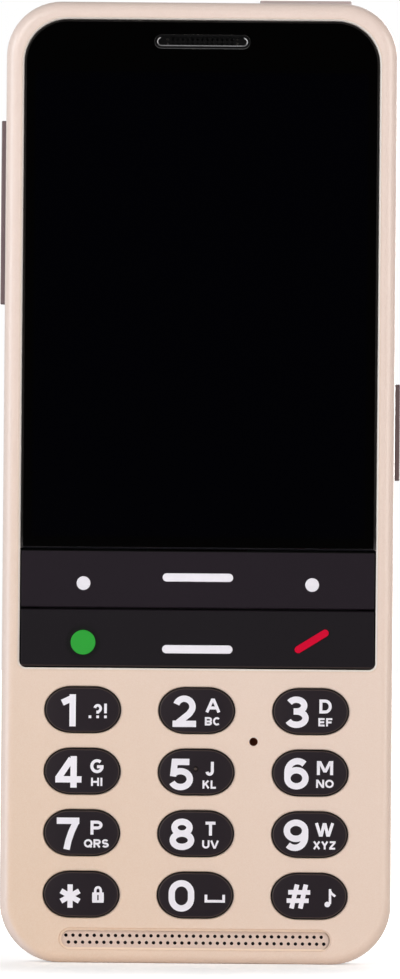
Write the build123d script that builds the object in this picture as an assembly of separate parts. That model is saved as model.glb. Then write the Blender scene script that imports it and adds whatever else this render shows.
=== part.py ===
from build123d import *
from math import radians, sin
import os

# A bar phone that stands on its bottom edge. The front faces -Y, +X is to the right and +Z is up.
# The origin is the middle of the bottom edge. A depth is measured from the flat of the front face
# towards the back.

# Body
body_width = 55.45
body_height = 136.2
body_depth = 14.0
top_corner = 7.8
bottom_corner = 8.6
front_round = 1.6
back_round = 3.5
parting = body_depth / 2  # depth at which front and rear housing meet
overrun = 1.0  # how far every cutter reaches past what it cuts
weld = 0.2  # how far a feature runs into the wall that it grows from

# Walls of the front housing
face_wall = 1.4
side_wall = 1.5
thin_wall = 1.0  # side wall behind the step that the chassis sits on

# Opening for the glass and the two bars
opening_side = 2.5
opening_head = 2.45
opening_width = body_width - 2 * opening_side
opening_bottom = 41.8
opening_top = body_height - opening_head
opening_top_corner = 6.2
opening_bottom_corner = 0.95
opening_chamfer = 0.25

# Bars under the glass
bar_height = 8.1
bar_gap = 0.24
bar_side_gap = 0.2
bar_thickness = 1.3
bar_recess = 0.05
bar_corner = 0.3
bar_edge = 0.15
bar_press = 0.2
bar_rock_degrees = 0.7
foot_length = 1.5
tab_reach = 0.68
tab_gap = 0.4
tab_thickness = 0.5
plunger_radius = 1.2
groove_clearance = 0.05

# Silicone rib that a bar rocks on
pivot_radius = 0.5
pivot_length = 6.0
pivot_base_width = 3.0
pivot_base_thickness = 0.5
pivot_centre_depth = 1.55

# Raised marks on the bars
mark_height = 0.18
mark_edge = 0.07
dot_inset = 9.025  # from the opening's side to a dot's middle
dot_x = opening_width / 2 - dot_inset
dot_radius = 0.98
line_length = 10.0
line_thickness = 1.19
upper_dot_rise = 3.42  # height of a mark's middle above its bar's lower edge
upper_line_rise = 4.33
lower_dot_rise = 3.38
lower_line_rise = 2.5
call_radius = 1.76
call_ring_radius = 2.4
call_ring_depth = 0.1
end_length = 5.5
end_thickness = 1.05
end_angle = 32.0
end_rise = 3.77

# Glass
lens_gap = 0.12
lens_thickness = 1.1
lens_bevel = 0.25
lens_lower_corner = 0.3
tape_thickness = 0.15
tape_width = 0.8
ledge_thickness = 0.65

# Earpiece
ear_drop = 3.12  # from the opening's upper edge to the slot's middle
ear_z = opening_top - ear_drop
ear_length = 13.66
ear_height = 2.07
ear_gap = 0.05
ear_rim = 0.32
ear_floor_depth = 0.35
ear_thickness = 0.9
ear_hole_radius = 0.17
ear_hole_pitch = 0.7
ear_hole_count = 15
ear_row_pitch = 0.62
receiver_width = 12.0
receiver_height = 6.0
receiver_corner = 0.9
receiver_gap = 0.05

# Display
display_side = 1.225
display_foot = 1.28
display_head = 7.05
display_width = opening_width - 2 * display_side
display_top = opening_top - display_head
display_corner = 0.6
display_gap = 0.2
cell_thickness = 1.2
cell_inset = 0.4
display_to_tape = 0.1

# Keys
key_columns = 3
key_rows = 4
key_margin = 6.135  # from the body's side to the first key hole
key_space_x = 5.27  # wall between two key holes side by side
key_space_z = 2.06  # wall between two rows of key holes
key_drop = 5.93  # from the opening to the middle of the first row
last_row_z = 9.719
key_end_share = 0.695  # part of a key hole's half width that its rounded end takes
key_hole_width = (body_width - 2 * key_margin - (key_columns - 1) * key_space_x) / key_columns
key_pitch_x = key_hole_width + key_space_x
key_end = key_hole_width / 2 * key_end_share
key_flat = key_hole_width / 2 - key_end  # half the straight length of a key's upper and lower edge
first_row_z = opening_bottom - key_drop
key_pitch_z = (first_row_z - last_row_z) / (key_rows - 1)
key_hole_half = (key_pitch_z - key_space_z) / 2
key_gap = 0.13
key_proud = 0.5
key_crown_radius = 60.0
key_edge_round = 0.2
key_hole_chamfer = 0.12
key_flange = 0.6
key_flange_thickness = 0.6
key_travel = 0.4
key_press_room = 0.15
stem_radius = 1.2
bump_radius = 0.45
bump_proud = 0.24
bump_x = -0.1
bump_rise = 0.45

# Layers behind the keys and the display
mat_thickness = 0.4
mat_hole_radius = 3.1
film_thickness = 0.2
dome_radius = 2.5
dome_height = 0.4
dome_reach = 0.05  # gap left between a pressed stem and its dome
board_thickness = 0.8
board_side = 5.15
board_half_width = body_width / 2 - board_side
board_bottom = 4.9
board_head = 2.6  # from the keypad board to the display above it
mat_head = 0.6  # from the mat to the bars' opening above it
chassis_thickness = 0.8
chassis_gap = 0.1

# Microphone
mic_x = key_pitch_x / 2
mic_z = first_row_z - key_pitch_z / 2
mic_hole_radius = 0.6
mic_port_radius = 0.3
mic_width = 3.0
mic_height = 4.0
mic_thickness = 1.1
mic_gap = 0.25
gasket_radius = 1.4

# Speaker slot
slot_z = 3.41
slot_side = 8.5
slot_length = body_width - 2 * slot_side
slot_height = 2.95
grille_recess = 0.35
grille_thickness = 0.4
grille_seat = 0.5
grille_gap = 0.1
grille_hole_count = 37
grille_hole_margin = 2.27
grille_hole_pitch = (slot_length - grille_hole_margin) / (grille_hole_count - 1)
grille_hole_radius = 0.245
grille_row_pitch = 0.98
grille_row_shift = 0.37

# Main board
standoff = 0.9
main_thickness = 1.0
main_bottom = 24.0
main_head = 3.5
main_top = body_height - main_head
main_corner = 5.0
peg_radius = 1.5
peg_inset = 3.4
peg_rise = 5.5  # from the board's lower edge to the lowest pegs
peg_past_battery = 2.9
peg_drop = 13.0  # from the board's upper edge to the highest pegs
peg_x = board_half_width - peg_inset
board_screw_radius = 0.5
board_screw_head = 1.0
board_screw_head_height = 0.35
board_screw_length = 1.9
screw_fit = 0.03

# Battery and its bay
battery_side = 6.55
battery_width = body_width - 2 * battery_side
battery_bottom = 27.0
battery_head = 10.0  # from the battery to the cover's upper edge
battery_back_gap = 0.35
battery_corner_share = 1 / 3  # of its thickness
battery_side_gap = 0.3
battery_floor_gap = 0.1
bay_wall = 1.0
bay_floor = 0.8
bay_floor_gap = 0.5

# Card holders on the main board
card_thickness = 1.3
card_gap = 0.3
card_low = 9.0  # from the battery's lower edge
card_high = 22.0
sim_edge = 3.5  # from the battery's side
sim_inner_x = 2.5
memory_edge = 4.0
memory_inner_x = 3.0
card_z = (battery_bottom + card_low, battery_bottom + card_high)
sim_box = ((sim_edge - battery_width / 2, -sim_inner_x), card_z)
memory_box = ((memory_inner_x, battery_width / 2 - memory_edge), card_z)
card_slot_depth = 0.7
card_slot_wall = 0.9
card_lid = 0.4

# Battery contacts
contact_width = 10.0
contact_height = 3.0
contact_gap = 0.2
contact_to_deck = 1.7
blade_width = 1.0
blade_pitch = 3.0
blade_count = 3
blade_touch = 0.1

# Rear housing, cover and camera deck
cover_rim = 2.8  # depth of the cover's rim
cover_split = body_depth - cover_rim
cover_wall = 1.1
cover_gap = 0.2
camera_deck_height = 38.0
cover_top = body_height - camera_deck_height
cover_seam = 0.15
rear_side_wall = 1.5
deck_wall = 0.85
deck_side_wall = 2.6
cavity_step_gap = 0.8
cavity_step = cover_split - cavity_step_gap
cavity_corner_least = 0.5
deck_plate = 1.1
deck_frame = 1.0
tongue_height = 0.9
tongue_gap = 0.08
clip_width = 5.0
clip_thickness = 0.5
clip_length = 1.4
clip_room = 0.15
clip_shares = (0.184, 0.51, 0.878)  # of the cover's height
notch_width = 12.0
notch_depth = 0.8

# Housing screws
screw_inset = 3.25
screw_x = body_width / 2 - screw_inset
lowest_boss_z = 9.0
boss_to_opening = 2.8
pillar_drop = 10.5  # from the cover's upper edge
boss_heights = (lowest_boss_z, opening_bottom - boss_to_opening)
pillar_heights = (cover_top - pillar_drop,)
boss_radius = 1.5
boss_to_deck = 1.9
rear_boss_radius = 1.6
screw_radius = 0.7
screw_room = 0.15
screw_head_radius = 1.2
screw_head_height = 0.7
screw_seat_to_deck = 0.55
screw_end_gap = 1.05  # from the chassis to a screw's end
screw_tip_room = 0.5
screw_pocket = 1.3
head_round_share = 1 / 3
drive_length = 0.9
drive_width = 0.3
drive_depth = 0.35

# Side and top keys
side_key_place_share = 0.4615  # of the way from the main board to the cover's rim
side_key_proud = 0.74
side_key_gap = 0.15
side_key_band = 1.8  # what the side wall keeps beside a key
side_key_width = cover_split - parting - side_key_band
side_key_flange = 0.3
side_flange_thickness = 0.6
side_key_round = 0.4
side_key_travel = 0.3
side_stem_length = 0.5
switch_gap = 0.05
switch_height = 1.3
switch_width = 3.4
switch_depth = 1.8
plate_thickness = 0.25
rib_thickness = 0.8
rib_to_board = 0.85
rocker_length = 26.1
rocker_drop = 29.9  # from the top to the rocker's middle
rocker_z = body_height - rocker_drop
rocker_gap = 0.4
rocker_nub_z = 7.5
rocker_degrees = 1.2
side_key_length = 13.7
side_key_drop = 60.7
side_key_z = body_height - side_key_drop
power_length = 13.0
power_inset = 13.125  # from the body's side to the power key's middle
power_x = body_width / 2 - power_inset
power_proud = 0.55
power_narrower = 0.2
power_width = side_key_width - power_narrower

# Assistance key on the back
assist_to_camera = 18.0
assist_width = 13.0
assist_height = 9.0
assist_proud = 0.3
assist_gap = 0.15
assist_flange = 0.6
assist_round = 0.25
assist_switch_height = 1.25
assist_switch_width = 3.0

# Camera and flash
camera_drop = 10.0
camera_z = body_height - camera_drop
assist_z = camera_z - assist_to_camera
camera_body = 8.5
camera_to_deck = 1.05
camera_barrel_radius = 3.2
camera_pupil_radius = 1.6
camera_pupil_depth = 1.0
camera_view_radius = 3.5
ring_outer = 5.2
ring_inner = 4.0
ring_proud = 0.74
ring_seat = 0.8
ring_lip = 0.3
ring_gap = 0.1
window_thickness = 0.6
window_sink = 0.25
flash_x = 10.0
flash_radius = 1.8
flash_board = 4.4
flash_board_thickness = 0.4

# Headphone jack
jack_inset = 12.225
jack_x = jack_inset - body_width / 2
jack_place_share = 0.644  # of the free depth that lies in front of the jack
jack_bore = 1.8
jack_bore_length = 14.0
jack_nose_radius = 2.1
jack_nose_recess = 0.25
jack_hole_gap = 0.1
jack_width = 6.0
jack_head = 2.8
jack_body_length = 12.6
jack_thickness = 5.2
jack_board_gap = 0.2
jack_top = body_height - jack_head
jack_bottom = jack_top - jack_body_length

# USB socket
usb_width = 8.94
usb_height = 3.16
usb_length = 7.3
usb_recess = 0.3
usb_wall = 0.3
usb_place_share = 0.568  # of the free depth that lies in front of the board
usb_gap = 0.12
usb_tongue_width = 6.7
usb_tongue_thickness = 0.7
usb_tongue_length = 4.8
usb_board_half = 7.4
usb_board_bottom = 1.9
usb_board_top = 17.0
usb_board_thickness = 1.0
usb_peg_x = 5.5
usb_peg_z = 13.0

# Loudspeaker and vibration motor
speaker_side = 6.05
speaker_gap = 0.1
speaker_z = 8.0
speaker_height = 11.0
speaker_thickness = 3.5
speaker_corner = 1.0
speaker_port_height = 2.0
motor_place_share = 0.562  # of the way from the charging board to the screw post
motor_z = 10.5
motor_radius = 4.0
motor_thickness = 2.7

# Shield cans, antenna, connector and ribbons
can_x = 3.6
can_side = 3.6
can_past_battery = 4.6
can_to_camera = 9.0
can_width = board_half_width - can_x - can_side
can_top = camera_z - can_to_camera
can_height = 1.8
can_wall = 0.2
can_corner = 0.4
antenna_x = 12.0
antenna_width = 14.0
antenna_to_camera = 8.5
antenna_z = camera_z - antenna_to_camera
antenna_height = 7.0
antenna_thickness = 0.2
connector_inset = 8.4
connector_drop = 5.4
connector_x = connector_inset - board_half_width
connector_width = 10.0
connector_height = 3.0
connector_gap = 0.3
ribbon_thickness = 0.15
ribbon_width = 14.0
ribbon_bend = 0.5
ribbon_slot_height = 1.5
display_ribbon_rise = 8.0
lower_ribbon_width = 5.0
lower_ribbon_lap = 2.5

# Depths and places that follow from the sizes above
flange_back = face_wall + key_flange_thickness
mat_front = flange_back + key_travel + key_press_room
film_front = mat_front + mat_thickness
board_front = film_front + film_thickness
chassis_front = board_front + board_thickness
chassis_back = chassis_front + chassis_thickness
dome_top = film_front - dome_height
main_front = chassis_back + standoff
main_back = main_front + main_thickness
bay_front = main_back + bay_floor_gap
bay_back = bay_front + bay_floor
cover_inside = body_depth - cover_wall
battery_front = bay_back + battery_floor_gap
battery_back = cover_inside - battery_back_gap
deck_back = cover_inside - cover_gap
deck_front = deck_back - deck_wall
camera_deck_inside = body_depth - deck_plate
boss_end = deck_front - boss_to_deck
screw_seat = deck_front - screw_seat_to_deck
screw_length = screw_seat - chassis_back - screw_end_gap
rib_end = main_back + rib_to_board
side_key_depth = main_back + (cover_split - main_back) * side_key_place_share
contact_back = deck_front - contact_to_deck
jack_front = chassis_back + (camera_deck_inside - chassis_back - jack_thickness) * jack_place_share
jack_depth = jack_front + jack_thickness / 2
usb_room = deck_front - chassis_back - usb_board_thickness - usb_height
usb_board_front = chassis_back + usb_room * usb_place_share
usb_board_back = usb_board_front + usb_board_thickness
usb_depth = usb_board_back + usb_height / 2
ledge_front = lens_thickness + tape_thickness
ledge_back = ledge_front + ledge_thickness
bar_back = bar_recess + bar_thickness
lower_bar_z = opening_bottom + bar_gap
upper_bar_z = lower_bar_z + bar_height + bar_gap
lens_bottom = upper_bar_z + bar_height + bar_gap
display_bottom = lens_bottom + display_foot
board_top = display_bottom - board_head
mat_top = opening_bottom - mat_head
connector_z = board_top - connector_drop
half_width = body_width / 2
inner_x = half_width - rear_side_wall
battery_top = cover_top - battery_head
peg_heights = (main_bottom + peg_rise, battery_top + peg_past_battery, main_top - peg_drop)
can_bottom = battery_top + can_past_battery
motor_x = usb_board_half + (screw_x - rear_boss_radius - usb_board_half) * motor_place_share
switch_face = side_flange_thickness + side_stem_length + side_key_travel + switch_gap


def y_at(depth):
    """Where a depth from the front face lies on the y axis."""
    return depth - body_depth / 2


def slab(shape, front, back):
    """A flat shape drawn across x and z, made solid between two depths."""
    return extrude(Plane.XZ.offset(-y_at(back)) * shape, back - front)


def block(x_span, depth_span, z_span):
    """A box between two values on x, two depths and two values on z."""
    (x_low, x_high), (front, back), (z_low, z_high) = x_span, depth_span, z_span
    centre = ((x_low + x_high) / 2, y_at((front + back) / 2), (z_low + z_high) / 2)
    return Pos(*centre) * Box(x_high - x_low, back - front, z_high - z_low)


def rod(x, z, radius, front, back):
    """A round rod that runs from front to back."""
    return slab(Pos(x, z) * Circle(radius), front, back)


def full_width(depth_span, z_span):
    """A box that reaches past both sides of the body."""
    return block(span(0, 2 * body_width), depth_span, z_span)


def stadium(length, height):
    """A slot shape with full-round ends."""
    return SlotOverall(length, height)


def span(middle, size):
    """The two ends of a size set about its middle."""
    return (middle - size / 2, middle + size / 2)


def outline(inset=0):
    """The body's outline across x and z, drawn in by a wall."""
    blank = Pos(0, body_height / 2) * Rectangle(body_width - 2 * inset, body_height - 2 * inset)
    blank = fillet(blank.vertices().group_by(Axis.Y)[-1], max(top_corner - inset, cavity_corner_least))
    return fillet(blank.vertices().group_by(Axis.Y)[0], max(bottom_corner - inset, cavity_corner_least))


def body_form(inset=0):
    """The whole body as one rounded solid, drawn in by a wall at the sides and the back."""
    form = slab(outline(inset), 0, body_depth - inset)
    back_edges = form.edges().filter_by_position(Axis.Y, *span(y_at(body_depth - inset), thin_wall))
    form = fillet(back_edges, back_round - inset)
    if inset:
        return form
    front_edges = form.edges().filter_by_position(Axis.Y, *span(y_at(0), thin_wall))
    return fillet(front_edges, front_round)


def opening_outline(inset=0):
    """The opening for the glass and the bars."""
    height = opening_top - opening_bottom
    blank = Pos(0, opening_bottom + height / 2) * Rectangle(opening_width - 2 * inset, height - 2 * inset)
    blank = fillet(blank.vertices().group_by(Axis.Y)[-1], opening_top_corner - inset)
    return fillet(blank.vertices().group_by(Axis.Y)[0], opening_bottom_corner - inset)


def key_outline(grow=0):
    """A key hole's outline: short straight edges between two elliptical ends."""
    end = Ellipse(key_end + grow, key_hole_half + grow)
    middle = Rectangle(2 * key_flat, 2 * (key_hole_half + grow))
    return middle + Pos(key_flat, 0) * end + Pos(-key_flat, 0) * end


def key_places():
    """Name and middle of every key, row by row from the top."""
    names = ["1", "2", "3", "4", "5", "6", "7", "8", "9", "star", "0", "hash"]
    places = []
    for index, name in enumerate(names):
        row, column = divmod(index, key_columns)
        x = (column - (key_columns - 1) / 2) * key_pitch_x
        places.append(("key_" + name, x, first_row_z - row * key_pitch_z))
    return places


def bar_places():
    """Name and lower edge of the two bars."""
    return [("upper", upper_bar_z), ("lower", lower_bar_z)]


def dome_places():
    """Where the switch domes lie: one behind every key and three behind each bar."""
    places = [(x, z) for _, x, z in key_places()]
    for _, low in bar_places():
        places += [(x, low + bar_height / 2) for x in (-dot_x, 0, dot_x)]
    return places


def screw_places(heights=boss_heights + pillar_heights):
    """Where the housing screws go in from the back."""
    return [(x, z) for z in heights for x in (-screw_x, screw_x)]


def peg_places():
    """Where the main board is screwed to the chassis."""
    return [(x, z) for z in peg_heights for x in (-peg_x, peg_x)]


def front_housing():
    """The champagne shell with the face, the rounded edge and the openings."""
    shell = body_form() & full_width((0, parting), (0, body_height))
    shell -= slab(outline(side_wall), face_wall, chassis_front)
    shell -= slab(outline(thin_wall), chassis_front, parting + overrun)
    shell -= slab(opening_outline(), -overrun, face_wall + overrun)
    for _, x, z in key_places():
        shell -= slab(Pos(x, z) * key_outline(), -overrun, face_wall + overrun)
    shell -= rod(mic_x, mic_z, mic_hole_radius, -overrun, face_wall + overrun)
    slot = Pos(0, slot_z) * stadium(slot_length, slot_height)
    shell -= slab(slot, -overrun, grille_recess + grille_thickness)
    through = stadium(slot_length - 2 * grille_seat, slot_height - 2 * grille_seat)
    shell -= slab(Pos(0, slot_z) * through, -overrun, face_wall + overrun)
    shell = chamfer_face_holes(shell)
    shell += lens_ledge()
    for x, z in screw_places(boss_heights):
        shell += rod(x, z, boss_radius, face_wall - weld, boss_end)
        shell -= screw_hole(x, z)
    return shell


def screw_hole(x, z):
    """The blind hole that a housing screw bites in."""
    end = screw_seat - screw_length - screw_tip_room
    return rod(x, z, screw_radius + screw_fit, end, boss_end + overrun)


def chamfer_face_holes(shell):
    """Breaks the sharp edges of the glass opening and the key holes."""
    face = shell.faces().filter_by(Axis.Y).sort_by(Axis.Y)[0]
    wires = face.inner_wires().sort_by(SortBy.LENGTH)
    shell = chamfer(wires[-1].edges(), opening_chamfer)
    face = shell.faces().filter_by(Axis.Y).sort_by(Axis.Y)[0]
    wires = face.inner_wires().sort_by(SortBy.LENGTH)
    edges = [edge for wire in wires[1:-1] for edge in wire.edges()]
    return chamfer(edges, key_hole_chamfer)


def lens_ledge():
    """The frame behind the glass that the tape holds it to."""
    room = body_width
    area = block(span(0, room), (ledge_front, ledge_back), (lens_bottom, body_height))
    ledge = area & slab(outline(side_wall - screw_fit), ledge_front, ledge_back)
    window = (display_bottom - display_gap, display_top + display_gap)
    ledge -= block(span(0, display_width + 2 * display_gap), (0, body_depth), window)
    ledge -= slab(Pos(0, ear_z) * stadium(ear_length - 2 * ear_height, ear_height / 2), 0, body_depth)
    return ledge


def rear_housing():
    """The rear shell: side band, deck under the cover, battery bay and camera deck."""
    whole = body_form()
    band = whole & full_width((parting, cover_split), (0, body_height))
    camera_deck = whole & full_width((parting, body_depth), (cover_top + cover_seam, body_height))
    deck = body_form(cover_wall + cover_gap) & full_width((parting, body_depth), (0, body_height))
    shell = band + camera_deck + deck
    shell -= slab(outline(rear_side_wall), parting - overrun, cavity_step)
    lower = full_width((parting, deck_front), (0, cover_top - deck_frame))
    upper = full_width((parting, camera_deck_inside), (cover_top + deck_frame, body_height))
    shell -= slab(outline(deck_side_wall), parting, body_depth) & (lower + upper)
    shell += tongue()
    shell += battery_tub() + rear_bosses() + switch_ribs()
    shell -= battery_room()
    shell -= rear_holes()
    return shell


def tongue():
    """The rim that locates the rear housing inside the front one."""
    reach = (parting - tongue_height, parting + tongue_height)
    rim = slab(outline(thin_wall + tongue_gap), *reach) - slab(outline(rear_side_wall), *reach)
    return rim


def battery_tub():
    """Outer block of the battery bay's walls and floor."""
    grow = 2 * (battery_side_gap + bay_wall)
    height = (battery_bottom - grow / 2, battery_top + grow / 2)
    return block(span(0, battery_width + grow), (bay_front, deck_front + weld), height)


def battery_room():
    """The space of the battery bay, open at the back."""
    grow = 2 * battery_side_gap
    height = (battery_bottom - grow / 2, battery_top + grow / 2)
    return block(span(0, battery_width + grow), (bay_back, body_depth), height)


def rear_bosses():
    """Round posts that the housing screws pull against."""
    posts = [rod(x, z, rear_boss_radius, boss_end, deck_back) for x, z in screw_places()]
    return (Part() + posts) & body_form(cover_wall + cover_gap)


def switch_ribs():
    """Walls that back the side and top key switches."""
    inside = inner_x - switch_face - switch_height - plate_thickness
    rocker_x = (-inside, rib_thickness - inside)
    rocker_low, rocker_high = span(rocker_z, rocker_length)
    rocker_rib = block(rocker_x, (rib_end, deck_front + screw_fit), (rocker_low, rocker_high))
    deck_low = cover_top + cover_seam
    rocker_rib += block(rocker_x, (deck_front, camera_deck_inside + screw_fit), (deck_low, rocker_high))
    side_x = (inside - rib_thickness, inside)
    side_rib = block(side_x, (rib_end, deck_front + screw_fit), span(side_key_z, side_key_length))
    top = body_height - rear_side_wall - switch_face - switch_height - plate_thickness
    power_rib = block(
        span(power_x, power_length), (rib_end, camera_deck_inside + screw_fit), (top - rib_thickness, top)
    )
    return rocker_rib + side_rib + power_rib


def rear_holes():
    """Everything cut through the rear housing, as one list of cutters."""
    cutters = []
    for x, z in screw_places():
        cutters.append(rod(x, z, screw_radius + screw_room, parting, body_depth))
        cutters.append(rod(x, z, screw_pocket, screw_seat, body_depth))
    for x_box, z_box in (sim_box, memory_box):
        x_room = (x_box[0] - card_gap, x_box[1] + card_gap)
        z_room = (z_box[0] - card_gap, z_box[1] + card_gap)
        cutters.append(block(x_room, (bay_front - overrun, bay_back + screw_fit), z_room))
    contact_z = (battery_top, battery_top + battery_side_gap + bay_wall + overrun)
    contact_room = span(0, contact_width + 2 * contact_gap)
    cutters.append(block(contact_room, (main_back, contact_back + contact_gap), contact_z))
    cutters += side_key_holes() + deck_holes() + clip_slots()
    return cutters


def side_key_holes():
    """Holes in the side and top walls for the two side keys and the power key."""
    depth = span(side_key_depth, side_key_width + 2 * side_key_gap)
    wall = (inner_x - screw_fit, half_width + overrun)
    left_z = span(rocker_z, rocker_length + 2 * side_key_gap)
    left = mirror(block(wall, depth, left_z), Plane.YZ)
    right = block(wall, depth, span(side_key_z, side_key_length + 2 * side_key_gap))
    top_x = span(power_x, power_length + 2 * side_key_gap)
    top_depth = span(side_key_depth, power_width + 2 * side_key_gap)
    top = block(top_x, top_depth, (body_height - rear_side_wall - screw_fit, body_height + overrun))
    left = fillet(left.edges().filter_by(Axis.X), side_key_round)
    right = fillet(right.edges().filter_by(Axis.X), side_key_round)
    top = fillet(top.edges().filter_by(Axis.Z), side_key_round)
    jack_hole = Cylinder(jack_nose_radius + jack_hole_gap, 2 * (deck_side_wall + overrun))
    jack = Pos(jack_x, y_at(jack_depth), body_height) * jack_hole
    flange_room = block(
        span(power_x, power_length + 2 * (side_flange_thickness + side_key_gap)),
        span(side_key_depth, power_width + 2 * (side_key_flange + side_key_gap)),
        (body_height - deck_side_wall, body_height - rear_side_wall),
    )
    return [left, right, top, jack, usb_hole(), flange_room]


def usb_hole():
    """The hole in the bottom wall for the charging socket."""
    section = RectangleRounded(usb_width + 2 * usb_gap, usb_height + 2 * usb_gap, usb_height / 2)
    return Pos(0, y_at(usb_depth), -overrun) * extrude(section, 2 * overrun + deck_side_wall)


def deck_holes():
    """Holes in the camera deck for the camera, the flash and the assistance key."""
    ring = rod(0, camera_z, ring_outer + ring_gap, body_depth - ring_seat, body_depth + overrun)
    view = rod(0, camera_z, camera_view_radius, parting, body_depth + overrun)
    flash = rod(flash_x, camera_z, flash_radius + ring_gap, parting, body_depth + overrun)
    key_hole = Ellipse(assist_width / 2 + assist_gap, assist_height / 2 + assist_gap)
    key = slab(Pos(0, assist_z) * key_hole, camera_deck_inside - overrun, body_depth + overrun)
    return [ring, view, flash, key]


def clip_places():
    """Middle of each locating tab of the cover on both long sides."""
    x = half_width - cover_wall + clip_thickness / 2
    return [(side * x, share * cover_top) for share in clip_shares for side in (-1, 1)]


def clip_slots():
    """Slots that the cover's locating tabs drop into."""
    slots = []
    for x, z in clip_places():
        x_room = span(x, clip_thickness + 2 * clip_room)
        z_room = span(z, clip_width + 2 * clip_room)
        slots.append(block(x_room, (cover_split - clip_length - clip_room, body_depth), z_room))
    return slots


def battery_cover():
    """The removable back with its rim, locating tabs and finger notch."""
    cover = body_form() & full_width((cover_split, body_depth), (0, cover_top))
    cover -= body_form(cover_wall)
    for x, z in clip_places():
        depth = (cover_split - clip_length, cover_split + clip_thickness)
        cover += block(span(x, clip_thickness), depth, span(z, clip_width))
    return cover - finger_notch() - usb_hole()


def finger_notch():
    """A shallow scoop in the cover's upper edge for a fingernail."""
    scoop = Ellipse(notch_width / 2, notch_depth * 2)
    return slab(Pos(0, cover_top) * scoop, body_depth - notch_depth / 2, body_depth + overrun)


def display_lens():
    """The black glass over the display, bevelled all round, with the earpiece slot."""
    blank = opening_outline(lens_gap) & above(lens_bottom)
    blank = fillet(blank.vertices().group_by(Axis.Y)[0], lens_lower_corner)
    lens = slab(blank, 0, lens_thickness)
    lens = chamfer(lens.faces().sort_by(Axis.Y)[0].edges(), lens_bevel)
    slot = Pos(0, ear_z) * stadium(ear_length, ear_height)
    return lens - slab(slot, -overrun, lens_thickness + overrun)


def above(low):
    """A flat shape that covers the body from a height upwards."""
    return Pos(0, body_height) * Rectangle(body_width, 2 * (body_height - low))


def lens_adhesive():
    """The tape frame between the glass and its ledge."""
    outer = opening_outline(2 * lens_gap) & above(lens_bottom + lens_gap)
    high = ear_z - ear_height
    middle = (display_bottom + high) / 2
    inner = Pos(0, middle) * Rectangle(display_width + 2 * display_gap, high - display_bottom)
    slot = Pos(0, ear_z) * stadium(ear_length + tape_width, ear_height + tape_width)
    return slab(outer - inner - slot, lens_thickness, ledge_front)


def earpiece_grille():
    """The thin rim and perforated floor in the earpiece slot."""
    outer = stadium(ear_length - 2 * ear_gap, ear_height - 2 * ear_gap)
    inner = stadium(ear_length - 2 * (ear_gap + ear_rim), ear_height - 2 * (ear_gap + ear_rim))
    grille = slab(outer, 0, ear_thickness) - slab(inner, -overrun, ear_floor_depth)
    holes = GridLocations(ear_hole_pitch, ear_row_pitch, ear_hole_count, 2) * Circle(ear_hole_radius)
    grille -= slab(Sketch() + holes, -overrun, ear_thickness + overrun)
    return Pos(0, 0, ear_z) * grille


def earpiece_receiver():
    """The small speaker behind the earpiece slot."""
    front = ledge_back + receiver_gap
    body = block(span(0, receiver_width), (front, chassis_front), span(ear_z, receiver_height))
    return fillet(body.edges().filter_by(Axis.Y), receiver_corner)


def lcd_panel():
    """The display cell."""
    size = Rectangle(display_width - 2 * cell_inset, display_top - display_bottom - 2 * cell_inset)
    front = ledge_front + display_to_tape
    return slab(Pos(0, (display_top + display_bottom) / 2) * size, front, front + cell_thickness)


def lcd_backlight():
    """The tray behind the display cell."""
    size = RectangleRounded(display_width, display_top - display_bottom, display_corner)
    front = ledge_front + display_to_tape + cell_thickness
    return slab(Pos(0, (display_top + display_bottom) / 2) * size, front, chassis_front)


def display_ribbon():
    """The flexible print from the display's foot round the chassis to the main board."""
    start = chassis_front - ribbon_bend
    slot_low = display_bottom - ribbon_slot_height
    line = FilletPolyline(
        (y_at(start), display_bottom - ribbon_thickness),
        (y_at(start), slot_low),
        (y_at(main_front) - ribbon_thickness / 2, slot_low),
        (y_at(main_front) - ribbon_thickness / 2, slot_low + display_ribbon_rise),
        radius=ribbon_bend,
    )
    return ribbon_along(line, ribbon_width)


def ribbon_along(line, width):
    """A flat ribbon whose edge follows a line drawn across y and z."""
    strip = Plane.YZ * offset(line, ribbon_thickness / 2, side=Side.BOTH)
    return extrude(make_face(strip.edges()), width / 2, both=True)


def keycap(name, x, z):
    """One domed keycap with its flange and stem."""
    cap = slab(key_outline(-key_gap), -key_proud, face_wall)
    crown = Pos(0, y_at(key_crown_radius - key_proud), 0) * Sphere(key_crown_radius)
    cap &= crown
    cap = fillet(cap.faces().sort_by(Axis.Y)[0].edges(), key_edge_round)
    cap += slab(key_outline(key_flange), face_wall, flange_back)
    stem_end = dome_top - dome_reach - key_travel
    cap += rod(0, 0, stem_radius, face_wall, stem_end)
    if name == "key_5":
        top = y_at(-key_proud) + bump_radius - bump_proud
        cap += Pos(bump_x, top, bump_rise) * Sphere(bump_radius)
    return Pos(x, 0, z) * cap


def nav_bar(low):
    """One full-width bar with its feet, tabs, plungers and the groove for its pivot."""
    width = opening_width - 2 * bar_side_gap
    middle = low + bar_height / 2
    bar = slab(Pos(0, middle) * RectangleRounded(width, bar_height, bar_corner), bar_recess, bar_back)
    bar = chamfer(bar.faces().sort_by(Axis.Y)[0].edges(), bar_edge)
    tab_front = face_wall + tab_gap
    tab_back = tab_front + tab_thickness
    z_span = span(middle, bar_height - 2 * bar_corner)
    for side in (-1, 1):
        end = side * width / 2
        foot_x = sorted((end - side * foot_length, end))
        tab_x = sorted((end - side * foot_length, end + side * tab_reach))
        bar += block(foot_x, (bar_back, tab_back), z_span)
        bar += block(tab_x, (tab_front, tab_back), z_span)
        reach = dot_x * sin(radians(bar_rock_degrees)) + bar_press + dome_reach
        bar += rod(side * dot_x, middle, plunger_radius, bar_back, dome_top - reach)
    groove = pivot_rod(pivot_radius + groove_clearance, middle, pivot_length + 2 * groove_clearance)
    return bar - groove


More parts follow.
